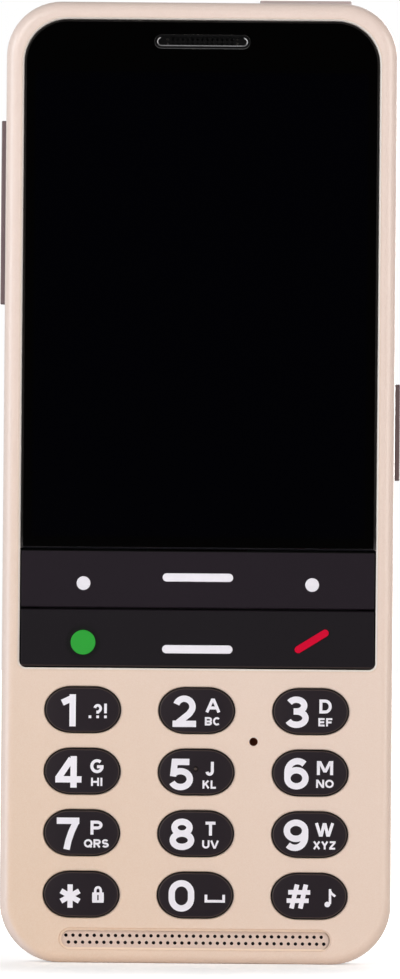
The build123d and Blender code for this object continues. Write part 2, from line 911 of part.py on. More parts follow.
def pivot_rod(radius, middle, length):
    """The upright round rib that a bar rocks on, or the groove for it."""
    return Pos(0, y_at(pivot_centre_depth), middle) * Cylinder(radius, length)


def nav_pivot(low):
    """The silicone rib behind a bar's middle, with its base over the centre dome."""
    middle = low + bar_height / 2
    rib = pivot_rod(pivot_radius, middle, pivot_length)
    base_back = dome_top - bar_press - dome_reach
    base_front = base_back - pivot_base_thickness
    rib += block(span(0, 2 * pivot_radius), (pivot_centre_depth, base_back), span(middle, pivot_length))
    return rib + block(span(0, pivot_base_width), (base_front, base_back), span(middle, pivot_length))


def raised_mark(shape, x, z):
    """A mark that stands on a bar's face with a softened edge."""
    mark = slab(shape, bar_recess - mark_height, bar_recess)
    mark = chamfer(mark.faces().sort_by(Axis.Y)[0].edges(), mark_edge)
    return Pos(x, 0, z) * mark


def upper_bar_marks():
    """Two dots and a line on the upper bar."""
    dots = [raised_mark(Circle(dot_radius), x, upper_bar_z + upper_dot_rise) for x in (-dot_x, dot_x)]
    line = raised_mark(stadium(line_length, line_thickness), 0, upper_bar_z + upper_line_rise)
    return Compound(children=dots + [line])


def lower_bar_mark():
    """The line on the lower bar."""
    return raised_mark(stadium(line_length, line_thickness), 0, lower_bar_z + lower_line_rise)


def call_mark():
    """The round call mark on the lower bar."""
    return raised_mark(Circle(call_radius), -dot_x, lower_bar_z + lower_dot_rise)


def end_mark():
    """The slanted end-call mark on the lower bar."""
    slash = Rot(0, 0, end_angle) * stadium(end_length, end_thickness)
    return raised_mark(slash, dot_x, lower_bar_z + end_rise)


def keypad_mat():
    """The silicone sheet round the key domes."""
    mat = board_blank(mat_front, film_front, mat_top)
    for _, x, z in key_places():
        mat -= rod(x, z, mat_hole_radius, mat_front - overrun, film_front + overrun)
    return mat - mic_room(mat_front, film_front)


def mic_room(front, back):
    """The cut-out round the microphone."""
    width = span(mic_x, mic_width + 2 * mic_gap)
    return block(width, (front - overrun, back + overrun), span(mic_z, mic_height + 2 * mic_gap))


def board_blank(front, back, top=board_top):
    """The outline that mat, dome film and keypad board share, up to a height."""
    return block((-board_half_width, board_half_width), (front, back), (board_bottom, top))


def dome_film():
    """The film with a pressed metal dome behind every key and bar position."""
    film = board_blank(film_front, board_front)
    sphere = (dome_radius**2 + dome_height**2) / (2 * dome_height)
    ball = Pos(0, y_at(dome_top + sphere), 0) * Sphere(sphere)
    dome = ball & slab(Circle(dome_radius + overrun), dome_top, film_front + film_thickness / 2)
    domes = [Pos(x, 0, z) * dome for x, z in dome_places()]
    return film + domes - mic_room(film_front, board_front)


def keypad_board():
    """The board under the keys."""
    return board_blank(board_front, chassis_front)


def microphone():
    """The microphone capsule on the keypad board."""
    depth = (board_front - mic_thickness, board_front)
    body = block(span(mic_x, mic_width), depth, span(mic_z, mic_height))
    port = rod(mic_x, mic_z, mic_port_radius, 0, board_front - mic_thickness / 2)
    return body - port


def mic_gasket():
    """The rubber ring that seals the microphone to the housing."""
    back = board_front - mic_thickness
    ring = rod(mic_x, mic_z, gasket_radius, face_wall, back)
    return ring - rod(mic_x, mic_z, mic_hole_radius, face_wall - overrun, back + overrun)


def speaker_grille():
    """The perforated strip in the speaker slot."""
    size = stadium(slot_length - 2 * grille_gap, slot_height - 2 * grille_gap)
    back = grille_recess + grille_thickness
    strip = slab(Pos(0, slot_z) * size, grille_recess, back)
    places = GridLocations(grille_hole_pitch, grille_row_pitch, grille_hole_count, 1)
    row = Sketch() + places * Circle(grille_hole_radius)
    upper = Pos(-grille_row_shift / 2, slot_z + grille_row_pitch / 2) * row
    lower = Pos(grille_row_shift / 2, slot_z - grille_row_pitch / 2) * row
    return strip - slab(upper + lower, grille_recess - overrun, back + overrun)


def chassis_plate():
    """The stiff plate between display and boards, with its pillars and spacer pegs."""
    plate = slab(outline(thin_wall + chassis_gap), chassis_front, chassis_back)
    for x, z in screw_places(boss_heights):
        plate -= rod(x, z, boss_radius + chassis_gap, 0, body_depth)
    for x, z in screw_places(pillar_heights):
        plate += rod(x, z, boss_radius, chassis_front, boss_end)
        plate -= screw_hole(x, z)
    for x, z in peg_places():
        plate += rod(x, z, peg_radius, chassis_back, main_front)
        end = main_back - board_screw_length - screw_fit
        plate -= rod(x, z, board_screw_radius + screw_fit, end, main_front + overrun)
    for x in (-usb_peg_x, usb_peg_x):
        plate += rod(x, usb_peg_z, peg_radius, chassis_back, usb_board_front)
        end = usb_board_back - board_screw_length - screw_fit
        plate -= rod(x, usb_peg_z, board_screw_radius + screw_fit, end, usb_board_front + overrun)
    ribbon = (display_bottom - 2 * ribbon_slot_height, display_bottom - ribbon_slot_height / 2)
    plate -= block(span(0, ribbon_width + 2 * connector_gap), (0, body_depth), ribbon)
    connector_room = span(connector_z, connector_height + 2 * connector_gap)
    connector_room_x = span(connector_x, connector_width + 2 * connector_gap)
    plate -= block(connector_room_x, (0, body_depth), connector_room)
    port_bottom = speaker_z - speaker_height / 2
    port = (port_bottom + connector_gap, port_bottom + connector_gap + speaker_port_height)
    port_x = (speaker_span()[0] + grille_seat, speaker_span()[1] - grille_seat)
    return plate - block(port_x, (0, body_depth), port)


def main_board():
    """The main board behind the chassis."""
    middle = (main_bottom + main_top) / 2
    blank = Pos(0, middle) * RectangleRounded(2 * board_half_width, main_top - main_bottom, main_corner)
    board = slab(blank, main_front, main_back)
    for x, z in peg_places():
        board -= rod(x, z, board_screw_radius + screw_room, 0, body_depth)
    jack_room = (jack_bottom - jack_board_gap, body_height)
    return board - block(span(jack_x, jack_width + 2 * jack_board_gap), (0, body_depth), jack_room)


def shield_cans():
    """Two thin metal cans over the radio and processor parts."""
    cans = []
    for side in (-1, 1):
        x_span = sorted((side * can_x, side * (can_x + can_width)))
        can = block(x_span, (main_back, main_back + can_height), (can_bottom, can_top))
        can = fillet(can.edges().filter_by(Axis.Y), can_corner)
        inside_x = (x_span[0] + can_wall, x_span[1] - can_wall)
        inside_depth = (main_back - overrun, main_back + can_height - can_wall)
        inside_z = (can_bottom + can_wall, can_top - can_wall)
        cans.append(can - block(inside_x, inside_depth, inside_z))
    return Compound(children=cans)


def card_holders():
    """The two flat card sockets in the floor of the battery bay."""
    return Compound(children=[card_holder(*sim_box), card_holder(*memory_box)])


def card_holder(x_span, z_span):
    """A flat card socket with its slot open at the top."""
    body = block(x_span, (main_back, main_back + card_thickness), z_span)
    slot_x = (x_span[0] + card_slot_wall, x_span[1] - card_slot_wall)
    holder_back = main_back + card_thickness
    slot_depth = (holder_back - card_slot_depth, holder_back - card_lid)
    return body - block(slot_x, slot_depth, (z_span[0] + card_slot_wall, z_span[1] + overrun))


def battery_contacts():
    """The contact block at the battery's upper end with its three blades."""
    foot = battery_top + battery_side_gap + contact_gap
    body = block(span(0, contact_width), (main_back, contact_back), (foot, foot + contact_height))
    for index in range(blade_count):
        x = (index - (blade_count - 1) / 2) * blade_pitch
        z_span = (battery_top + blade_touch, foot + weld)
        body += block(span(x, blade_width), span(contact_back - blade_width, blade_width), z_span)
    return body


def battery():
    """The removable battery pack."""
    height = (battery_bottom, battery_top)
    pack = block(span(0, battery_width), (battery_front, battery_back), height)
    corner = (battery_back - battery_front) * battery_corner_share
    return fillet(pack.edges().filter_by(Axis.Z), corner)


def screw(x, z, seat, head, head_height, shank, length):
    """A pan-head screw driven from the back, with a cross recess."""
    body = rod(x, z, head, seat, seat + head_height) + rod(x, z, shank, seat - length, seat)
    body = fillet(body.faces().sort_by(Axis.Y)[-1].edges(), head_height * head_round_share)
    top = seat + head_height
    recess = (top - min(drive_depth, head_height / 2), top + overrun)
    body -= block(span(x, drive_length), recess, span(z, drive_width))
    return body - block(span(x, drive_width), recess, span(z, drive_length))


def housing_screws():
    """The screws that hold rear housing, chassis and front housing together."""
    sizes = (screw_head_radius, screw_head_height, screw_radius, screw_length)
    return Compound(children=[screw(x, z, screw_seat, *sizes) for x, z in screw_places()])


def board_screws():
    """The small screws of the main board and the USB board."""
    seats = [(x, z, main_back) for x, z in peg_places()]
    seats += [(x, usb_peg_z, usb_board_back) for x in (-usb_peg_x, usb_peg_x)]
    sizes = (board_screw_head, board_screw_head_height, board_screw_radius, board_screw_length)
    return Compound(children=[screw(x, z, seat, *sizes) for x, z, seat in seats])


def side_cap(length, width, proud, flange_front, nubs):
    """A side key lying along x: its face towards +X and its stems towards -X."""
    outer = half_width + proud
    cap = block((flange_front, outer), span(side_key_depth, width), span(0, length))
    cap = fillet(cap.edges().filter_by(Axis.X), side_key_round)
    cap = fillet(cap.faces().sort_by(Axis.X)[-1].edges(), side_key_gap)
    flange_width = width + 2 * side_key_flange
    flange_length = length + 2 * side_flange_thickness
    flange_x = (flange_front - side_flange_thickness, flange_front)
    cap += block(flange_x, span(side_key_depth, flange_width), span(0, flange_length))
    nub_depth = span(side_key_depth, switch_depth)
    for z, reach in nubs:
        cap += block((flange_x[0] - reach, flange_x[0]), nub_depth, span(z, rib_thickness))
    return cap


def volume_rocker():
    """The volume rocker in the left wall, with its pivot rib and two nubs."""
    flange_front = inner_x - rocker_gap
    flange_back_x = flange_front - side_flange_thickness
    face = inner_x - switch_face
    swing = rocker_nub_z * sin(radians(rocker_degrees)) + switch_gap
    nub = flange_back_x - face - swing
    nubs = [(-rocker_nub_z, nub), (rocker_nub_z, nub)]
    rocker = side_cap(rocker_length, side_key_width, side_key_proud, flange_front, nubs)
    pivot_x = rocker_pivot_x()
    pivot_depth = span(side_key_depth, switch_depth)
    rocker += block((pivot_x, flange_back_x), pivot_depth, span(0, 2 * pivot_radius))
    rocker += Pos(pivot_x, y_at(side_key_depth), 0) * Rot(90, 0, 0) * Cylinder(pivot_radius, switch_depth)
    return Pos(0, 0, rocker_z) * mirror(rocker, Plane.YZ)


def rocker_pivot_x():
    """How far from the middle plane the rocker's pivot lies."""
    return inner_x - switch_face - switch_height + switch_gap + pivot_radius


def side_key():
    """The single key in the right wall."""
    key = side_cap(side_key_length, side_key_width, side_key_proud, inner_x, [(0, side_stem_length)])
    return Pos(0, 0, side_key_z) * key


def power_key():
    """The flat key in the top wall."""
    top_offset = body_height - half_width
    key = side_cap(power_length, power_width, power_proud, inner_x, [(0, side_stem_length)])
    return Pos(power_x, 0, top_offset) * Rot(0, -90, 0) * key


def key_switches():
    """The switches of the side, top and assistance keys, the first three on stiffener plates."""
    rocker = switch_strip([-rocker_nub_z, rocker_nub_z])
    single = switch_strip([0])
    left = Pos(0, 0, rocker_z) * mirror(rocker, Plane.YZ)
    right = Pos(0, 0, side_key_z) * single
    top = Pos(power_x, 0, body_height - half_width) * Rot(0, -90, 0) * single
    return Compound(children=[left, right, top, assist_switch()])


def switch_strip(places):
    """A stiffener plate along z with a switch at each place, facing +X."""
    face = inner_x - switch_face
    base = face - switch_height
    half = max(places) + switch_width / 2 + plate_thickness
    plate_depth = span(side_key_depth, switch_depth + plate_thickness)
    strip = block((base - plate_thickness, base), plate_depth, (-half, half))
    for z in places:
        strip += block((base, face), span(side_key_depth, switch_depth), span(z, switch_width))
    return strip


def assist_key():
    """The oval key on the camera deck, with a long stem to its switch."""
    face = Ellipse(assist_width / 2, assist_height / 2)
    cap = slab(face, camera_deck_inside, body_depth + assist_proud)
    cap = fillet(cap.faces().sort_by(Axis.Y)[-1].edges(), assist_round)
    flange = Ellipse(assist_width / 2 + assist_flange, assist_height / 2 + assist_flange)
    cap += slab(flange, camera_deck_inside - side_flange_thickness, camera_deck_inside)
    stem_end = main_back + assist_switch_height + side_key_travel + switch_gap
    cap += rod(0, 0, peg_radius, stem_end, camera_deck_inside)
    return Pos(0, 0, assist_z) * cap


def assist_switch():
    """The switch under the assistance key."""
    body = block(
        span(0, assist_switch_width),
        (main_back, main_back + assist_switch_height - film_thickness),
        span(assist_z, assist_switch_width),
    )
    return body + rod(0, assist_z, stem_radius, main_back, main_back + assist_switch_height)


def camera_module():
    """The camera on the main board."""
    depth = (main_back, camera_deck_inside - camera_to_deck)
    body = block(span(0, camera_body), depth, span(camera_z, camera_body))
    lens_front = body_depth - ring_seat - ring_gap
    barrel = rod(0, camera_z, camera_barrel_radius, main_back, lens_front)
    funnel = Cone(0, camera_pupil_radius, camera_pupil_depth)
    pupil = Pos(0, y_at(lens_front), camera_z) * Rot(-90, 0, 0) * funnel
    return body + barrel - pupil


def camera_ring():
    """The metal ring round the camera window."""
    ring = rod(0, camera_z, ring_outer, body_depth - ring_seat, body_depth + ring_proud)
    ring = fillet(ring.faces().sort_by(Axis.Y)[-1].edges(), ring_lip)
    seat = body_depth + ring_proud - window_sink - window_thickness
    ring -= rod(0, camera_z, ring_inner, seat, body_depth + ring_proud + overrun)
    return ring - rod(0, camera_z, camera_view_radius, 0, body_depth + ring_proud + overrun)


def camera_window():
    """The clear window in the ring."""
    seat = body_depth + ring_proud - window_sink - window_thickness
    return rod(0, camera_z, ring_inner - screw_fit, seat, seat + window_thickness)


def flash_lens():
    """The flash window with its light below."""
    lens = rod(flash_x, camera_z, flash_radius, camera_deck_inside, body_depth)
    light_depth = (main_back, camera_deck_inside)
    light = block(span(flash_x, 2 * flash_radius), light_depth, span(camera_z, flash_radius))
    foot_depth = (main_back, main_back + flash_board_thickness)
    foot = block(span(flash_x, flash_board), foot_depth, span(camera_z, flash_board))
    return lens + light + foot


def antenna():
    """The thin antenna plate on the inside of the camera deck."""
    depth = (camera_deck_inside - antenna_thickness, camera_deck_inside)
    return block(span(antenna_x, antenna_width), depth, span(antenna_z, antenna_height))


def headphone_jack():
    """The headphone socket in the top edge."""
    body = block(span(jack_x, jack_width), span(jack_depth, jack_thickness), (jack_bottom, jack_top))
    nose_top = body_height - jack_nose_recess
    centre = (jack_x, y_at(jack_depth))
    body += Pos(*centre, (nose_top + jack_top) / 2) * Cylinder(jack_nose_radius, nose_top - jack_top)
    bore_middle = nose_top - jack_bore_length / 2
    return body - Pos(*centre, bore_middle) * Cylinder(jack_bore, jack_bore_length)


def usb_socket():
    """The charging socket in the bottom edge: shell and tongue."""
    shell = usb_shape(usb_width, usb_height, usb_recess, usb_length)
    shell_end = usb_recess + usb_length
    room_length = shell_end - usb_wall + overrun
    shell -= usb_shape(usb_width - 2 * usb_wall, usb_height - 2 * usb_wall, -overrun, room_length)
    tongue_start = shell_end - usb_wall - usb_tongue_length
    tongue_depth = span(usb_depth, usb_tongue_thickness)
    return shell + block(span(0, usb_tongue_width), tongue_depth, (tongue_start, shell_end))


def usb_shape(width, height, start, length):
    """A rounded shape that runs up from the bottom edge."""
    section = RectangleRounded(width, height, height / 2 - screw_fit)
    return Pos(0, y_at(usb_depth), start) * extrude(section, length)


def usb_board():
    """The small board that carries the charging socket."""
    depth = (usb_board_front, usb_board_back)
    board = block((-usb_board_half, usb_board_half), depth, (usb_board_bottom, usb_board_top))
    for x in (-usb_peg_x, usb_peg_x):
        board -= rod(x, usb_peg_z, board_screw_radius + screw_room, 0, body_depth)
    return board


def lower_ribbon():
    """The flexible print between the USB board and the main board."""
    upper_y = y_at(main_back) + ribbon_thickness / 2
    lower_y = y_at(usb_board_back) + ribbon_thickness / 2
    line = FilletPolyline(
        (lower_y, usb_board_top - lower_ribbon_lap),
        (lower_y, usb_board_top + ribbon_bend),
        (upper_y, main_bottom - ribbon_bend),
        (upper_y, main_bottom + lower_ribbon_lap),
        radius=ribbon_bend,
    )
    return ribbon_along(line, lower_ribbon_width)


def board_connector():
    """The connector between keypad board and main board."""
    depth = (chassis_front, main_front)
    return block(span(connector_x, connector_width), depth, span(connector_z, connector_height))


def loudspeaker():
    """The loudspeaker behind the speaker slot."""
    depth = (chassis_back, chassis_back + speaker_thickness)
    body = block(speaker_span(), depth, span(speaker_z, speaker_height))
    return fillet(body.edges().filter_by(Axis.Y), speaker_corner)


def speaker_span():
    """The loudspeaker's two ends on x, between the side wall and the charging board."""
    return (speaker_side - half_width, -usb_board_half - speaker_gap)


def vibration_motor():
    """The coin-shaped vibration motor."""
    return rod(motor_x, motor_z, motor_radius, chassis_back, chassis_back + motor_thickness)


def lower_bar():
    """The lower bar, with the shallow ring round its call mark."""
    bar = nav_bar(lower_bar_z)
    ring = Pos(-dot_x, lower_bar_z + lower_dot_rise) * (Circle(call_ring_radius) - Circle(call_radius))
    return bar - slab(ring, -overrun, bar_recess + call_ring_depth)


def all_parts():
    """Every sub-part by its node name."""
    parts = {name: keycap(name, x, z) for name, x, z in key_places()}
    parts["front_housing"] = front_housing()
    parts["rear_housing"] = rear_housing()
    parts["battery_cover"] = battery_cover()
    parts["display_lens"] = display_lens()
    parts["lens_adhesive"] = lens_adhesive()
    parts["earpiece_grille"] = earpiece_grille()
    parts["earpiece_receiver"] = earpiece_receiver()
    parts["lcd_panel"] = lcd_panel()
    parts["lcd_backlight"] = lcd_backlight()
    parts["nav_bar_upper"] = nav_bar(upper_bar_z)
    parts["nav_bar_lower"] = lower_bar()
    for name, low in bar_places():
        parts["nav_pivot_" + name] = nav_pivot(low)
    parts["upper_bar_marks"] = upper_bar_marks()
    parts["lower_bar_mark"] = lower_bar_mark()
    parts["call_mark"] = call_mark()
    parts["end_mark"] = end_mark()
    parts["keypad_mat"] = keypad_mat()
    parts["dome_film"] = dome_film()
    parts["keypad_board"] = keypad_board()
    parts["microphone"] = microphone()
    parts["mic_gasket"] = mic_gasket()
    parts["speaker_grille"] = speaker_grille()
    parts["chassis_plate"] = chassis_plate()
    parts["main_board"] = main_board()
    parts["shield_cans"] = shield_cans()
    parts["card_holders"] = card_holders()
    parts["battery_contacts"] = battery_contacts()
    parts["battery"] = battery()
    parts["housing_screws"] = housing_screws()
    parts["board_screws"] = board_screws()
    parts["volume_rocker"] = volume_rocker()
    parts["side_key"] = side_key()
    parts["power_key"] = power_key()
    parts["key_switches"] = key_switches()
    parts["assist_key"] = assist_key()
    parts["camera_module"] = camera_module()
    parts["camera_ring"] = camera_ring()
    parts["camera_window"] = camera_window()
    parts["flash_lens"] = flash_lens()
    parts["antenna"] = antenna()
    parts["headphone_jack"] = headphone_jack()
    parts["usb_socket"] = usb_socket()
    parts["usb_board"] = usb_board()
    parts["flex_ribbons"] = Compound(children=[display_ribbon(), lower_ribbon()])
    parts["board_connector"] = board_connector()
    parts["loudspeaker"] = loudspeaker()
    parts["vibration_motor"] = vibration_motor()
    return parts


os.makedirs("parts", exist_ok=True)
for node, shape in all_parts().items():
    export_step(shape, "parts/" + node + ".step")
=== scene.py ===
import math
from collections import namedtuple

import bpy
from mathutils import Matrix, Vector


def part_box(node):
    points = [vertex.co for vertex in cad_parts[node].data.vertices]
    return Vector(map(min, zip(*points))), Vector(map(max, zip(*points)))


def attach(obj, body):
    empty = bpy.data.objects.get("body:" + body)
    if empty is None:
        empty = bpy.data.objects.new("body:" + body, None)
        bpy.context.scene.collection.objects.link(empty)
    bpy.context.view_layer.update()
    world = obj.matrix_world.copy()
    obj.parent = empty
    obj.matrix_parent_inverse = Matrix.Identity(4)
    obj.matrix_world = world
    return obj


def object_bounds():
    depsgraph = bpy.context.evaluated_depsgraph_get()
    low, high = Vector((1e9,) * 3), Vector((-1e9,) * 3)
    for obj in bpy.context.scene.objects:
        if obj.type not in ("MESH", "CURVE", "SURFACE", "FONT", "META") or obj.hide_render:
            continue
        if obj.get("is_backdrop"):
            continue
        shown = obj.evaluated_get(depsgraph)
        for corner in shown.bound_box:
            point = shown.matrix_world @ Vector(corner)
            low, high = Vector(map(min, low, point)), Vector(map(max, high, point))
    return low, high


bl_info = {
    "name": "Feature phone looks",
    "version": (1, 0, 0),
    "blender": (4, 5, 0),
    "location": "3D View > Sidebar > Phone",
    "description": "Finishes, key legends and studio for the feature phone",
    "category": "Object",
}

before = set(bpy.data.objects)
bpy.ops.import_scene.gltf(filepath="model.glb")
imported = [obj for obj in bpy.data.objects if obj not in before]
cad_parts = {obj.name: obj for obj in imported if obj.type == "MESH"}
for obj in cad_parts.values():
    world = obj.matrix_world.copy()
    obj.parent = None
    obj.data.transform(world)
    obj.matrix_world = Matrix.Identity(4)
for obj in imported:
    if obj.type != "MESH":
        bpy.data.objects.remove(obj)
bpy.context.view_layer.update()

MM = 0.001
KEY_NAMES = ["key_%s" % name for name in "1 2 3 4 5 6 7 8 9 star 0 hash".split()]


def srgb(red, green, blue):
    """A colour given in 0 to 255 display values, as linear values."""
    def linear(value):
        share = value / 255
        return share / 12.92 if share <= 0.04045 else ((share + 0.055) / 1.055) ** 2.4

    return (linear(red), linear(green), linear(blue))


# Properties


def colour_property(name, description, default):
    return bpy.props.FloatVectorProperty(
        name=name, description=description, default=default, size=3, subtype="COLOR", min=0, max=1
    )


def length_property(name, description, default):
    return bpy.props.FloatProperty(name=name, description=description, default=default, unit="LENGTH")


def angle_property(name, description, degrees):
    return bpy.props.FloatProperty(
        name=name, description=description, default=math.radians(degrees), subtype="ANGLE"
    )


def power_property(name, description, default):
    return bpy.props.FloatProperty(name=name, description=description, default=default, unit="POWER")


class PhoneFinishes(bpy.types.PropertyGroup):
    shell_pink: colour_property("Shell", "Champagne lacquer of the shell", srgb(234, 211, 200))
    shell_warm: colour_property("Shell, warm", "Champagne lacquer low on the left", srgb(231, 200, 175))
    band: colour_property("Side band", "Mauve brown of the rear housing", srgb(118, 99, 100))
    side_key: colour_property("Side keys", "Mauve brown of the side keys", srgb(118, 99, 100))
    top_key: colour_property("Top key", "Pale mauve of the key on the top edge", srgb(193, 173, 170))
    glass: colour_property("Glass", "Black behind the glass", (0.0005, 0.0004, 0.0004))
    display: colour_property("Display", "Switched-off display under the glass", (0.0003, 0.0003, 0.001))
    bar: colour_property("Bars", "Black plastic of the two bars", (0.0084, 0.0038, 0.0084))
    key: colour_property("Keys", "Black plastic of the number keys", (0.0104, 0.0049, 0.0085))
    white: colour_property("White marks", "White of marks and legends", srgb(238, 233, 240))
    green: colour_property("Call mark", "Green of the call mark", (0.008, 0.33, 0.02))
    red: colour_property("End mark", "Red of the end-call mark", (0.64, 0.001, 0.03))
    board: colour_property("Boards", "Solder resist of the boards", (0.012, 0.07, 0.035))
    silicone: colour_property("Silicone", "Black silicone rubber", (0.012, 0.008, 0.007))


class PhoneLegends(bpy.types.PropertyGroup):
    height: length_property("Height", "How far a legend stands on its key", 0.03 * MM)
    root: length_property("Root", "How deep a legend is let into its key", 0.08 * MM)
    low_print: length_property("Low print", "How much lower the print of the 5 sits", 0.24 * MM)
    aside_print: length_property("Print aside", "How far the prints of the 2 and the 5 sit aside", 0.2 * MM)
    crown: length_property("Crown radius", "Radius of a key's domed top", 60 * MM)
    key_front: length_property("Key front", "Y of a key's highest point", -7.5 * MM)


class PhoneLip(bpy.types.PropertyGroup):
    reach: length_property("Reach", "How far the lip reaches past the grille", 0.12 * MM)
    width: length_property("Width", "Width of the sloping lip", 0.3 * MM)
    proud: length_property("Proud", "How far the lip's outer edge stands out", 0.01 * MM)
    drop: length_property("Drop", "How deep the lip's inner edge lies", 0.24 * MM)
    foot: length_property("Foot", "How deep the lip's back lies", 0.32 * MM)


class PhoneOpening(bpy.types.PropertyGroup):
    gap: length_property("Gap", "Gap round the glass", 0.12 * MM)
    foot_gap: length_property("Foot gap", "Gap under the lower bar", 0.24 * MM)
    top_corner: length_property("Upper corners", "Radius of the opening's upper corners", 6.2 * MM)
    bottom_corner: length_property("Lower corners", "Radius of the opening's lower corners", 0.95 * MM)
    # The lip and the shade beside it are painted on the lacquer: a painted highlight and a painted shade.
    lip: length_property("Lip", "Width of the light lip round the opening", 0.24 * MM)
    lip_shade: length_property("Hollow", "How far the shade beside the lip reaches", 0.55 * MM)


class PhoneStage(bpy.types.PropertyGroup):
    distance: length_property("Camera distance", "From the camera to the front face", 2.5)
    picture_height: length_property("Picture height", "Height that the picture shows", 138.7 * MM)
    middle_x: length_property("Picture middle X", "X at the middle of the picture", 0.19 * MM)
    middle_z: length_property("Picture middle Z", "Z at the middle of the picture", 67.2 * MM)
    turn: angle_property("Turn", "How far the camera stands to the right", 0.4)
    roll: angle_property("Roll", "Turn of the picture", -0.49)
    ambient: bpy.props.FloatProperty(
        name="Ambient", description="Level of the room light", default=0.35, subtype="FACTOR"
    )
    left_power: power_property("Left lamp", "Power of the left lamp", 3.5)
    strip_power: power_property("Left strip", "Power of the strip lamp on the left", 3.4)
    right_power: power_property("Right lamp", "Power of the right lamp", 3.7)
    back_power: power_property("Back lamp", "Power of the back lamp", 6.0)


# Node helpers


def add_node(tree, kind, **sockets):
    """A node with some of its inputs set by name."""
    node = tree.nodes.new(kind)
    for name, value in sockets.items():
        node.inputs[name.replace("_", " ")].default_value = value
    return node


def math_node(tree, operation, first, second=0.0):
    """A math node fed by sockets or numbers."""
    node = tree.nodes.new("ShaderNodeMath")
    node.operation = operation
    for index, value in enumerate((first, second)):
        if isinstance(value, (int, float)):
            node.inputs[index].default_value = value
        else:
            tree.links.new(value, node.inputs[index])
    return node.outputs[0]


def product(tree, first, *others):
    """Multiplies sockets and numbers."""
    for other in others:
        first = math_node(tree, "MULTIPLY", first, other)
    return first


def hypotenuse(tree, across, up):
    """How long a line is that runs so far across and so far up."""
    squares = [product(tree, side, side) for side in (across, up)]
    return math_node(tree, "SQRT", math_node(tree, "ADD", *squares))


def ramp_value(tree, value, low, high, start=0.0, end=1.0):
    """Maps a value from one range to another, smoothly and clamped."""
    node = tree.nodes.new("ShaderNodeMapRange")
    node.interpolation_type = "SMOOTHSTEP"
    tree.links.new(value, node.inputs["Value"])
    for name, number in (("From Min", low), ("From Max", high), ("To Min", start), ("To Max", end)):
        node.inputs[name].default_value = number
    return node.outputs["Result"]


def between(tree, value, low, high, soft):
    """1 where a value lies between two others and 0 elsewhere, with soft steps."""
    return math_node(
        tree, "MINIMUM",
        ramp_value(tree, value, low - soft, low + soft),
        ramp_value(tree, value, high + soft, high - soft),
    )


def mix_colour(tree, factor, first, second):
    """Mixes two colours, each a socket or a colour value, by a mask."""
    node = tree.nodes.new("ShaderNodeMix")
    node.data_type = "RGBA"
    tree.links.new(factor, node.inputs["Factor"])
    for name, value in (("A", first), ("B", second)):
        socket = [s for s in node.inputs if s.name == name and s.type == "RGBA"][0]
        if isinstance(value, bpy.types.NodeSocket):
            tree.links.new(value, socket)
        else:
            socket.default_value = (*value, 1)
    return [s for s in node.outputs if s.type == "RGBA"][0]


ORIGIN = (0.0, 0.0, 0.0)


def new_group(name, inputs, outputs):
    """A shader node group with its sockets and its two end nodes. All but its vector inputs are numbers."""
    tree = bpy.data.node_groups.new(name, "ShaderNodeTree")
    for socket, default in inputs.items():
        kind = "NodeSocketFloat" if isinstance(default, float) else "NodeSocketVector"
        tree.interface.new_socket(socket, in_out="INPUT", socket_type=kind).default_value = default
    for socket in outputs:
        tree.interface.new_socket(socket, in_out="OUTPUT", socket_type="NodeSocketFloat")
    return tree, tree.nodes.new("NodeGroupInput"), tree.nodes.new("NodeGroupOutput")


def grain_group():
    """Moulded grain: a fine height, and a slow tone that varies over the surface."""
    tree, start, end = new_group(
        "Moulded grain", {"Vector": ORIGIN, "Fine Scale": 6000.0, "Slow Scale": 90.0}, ("Height", "Tone")
    )
    fine = add_node(tree, "ShaderNodeTexNoise", Detail=4.0, Roughness=0.65)
    slow = add_node(tree, "ShaderNodeTexNoise", Detail=3.0, Roughness=0.55)
    for node, scale in ((fine, "Fine Scale"), (slow, "Slow Scale")):
        tree.links.new(start.outputs["Vector"], node.inputs["Vector"])
        tree.links.new(start.outputs[scale], node.inputs["Scale"])
    tree.links.new(fine.outputs["Fac"], end.inputs["Height"])
    tree.links.new(slow.outputs["Fac"], end.inputs["Tone"])
    return tree


def flake_group():
    """Lacquer: tiny flakes and the slight waviness of a sprayed coat."""
    tree, start, end = new_group(
        "Lacquer flakes", {"Vector": ORIGIN, "Flake Scale": 9000.0, "Wave Scale": 500.0}, ("Flake", "Height")
    )
    cells = add_node(tree, "ShaderNodeTexVoronoi")
    wave = add_node(tree, "ShaderNodeTexNoise", Detail=1.5, Roughness=0.4)
    for node, scale in ((cells, "Flake Scale"), (wave, "Wave Scale")):
        tree.links.new(start.outputs["Vector"], node.inputs["Vector"])
        tree.links.new(start.outputs[scale], node.inputs["Scale"])
    split = tree.nodes.new("ShaderNodeSeparateColor")
    tree.links.new(cells.outputs["Color"], split.inputs["Color"])
    tree.links.new(split.outputs["Red"], end.inputs["Flake"])
    tree.links.new(wave.outputs["Fac"], end.inputs["Height"])
    return tree


def brushed_group():
    """Metal with fine lines along one direction."""
    tree, start, end = new_group(
        "Fine lines", {"Vector": ORIGIN, "Stretch": (200.0, 9000.0, 9000.0)}, ("Height", "Tone")
    )
    scale = tree.nodes.new("ShaderNodeVectorMath")
    scale.operation = "MULTIPLY"
    tree.links.new(start.outputs["Vector"], scale.inputs[0])
    tree.links.new(start.outputs["Stretch"], scale.inputs[1])
    lines = add_node(tree, "ShaderNodeTexNoise", Scale=1.0, Detail=5.0, Roughness=0.7)
    tree.links.new(scale.outputs[0], lines.inputs["Vector"])
    tree.links.new(lines.outputs["Fac"], end.inputs["Height"])
    tree.links.new(ramp_value(tree, lines.outputs["Fac"], 0.3, 0.7), end.inputs["Tone"])
    return tree


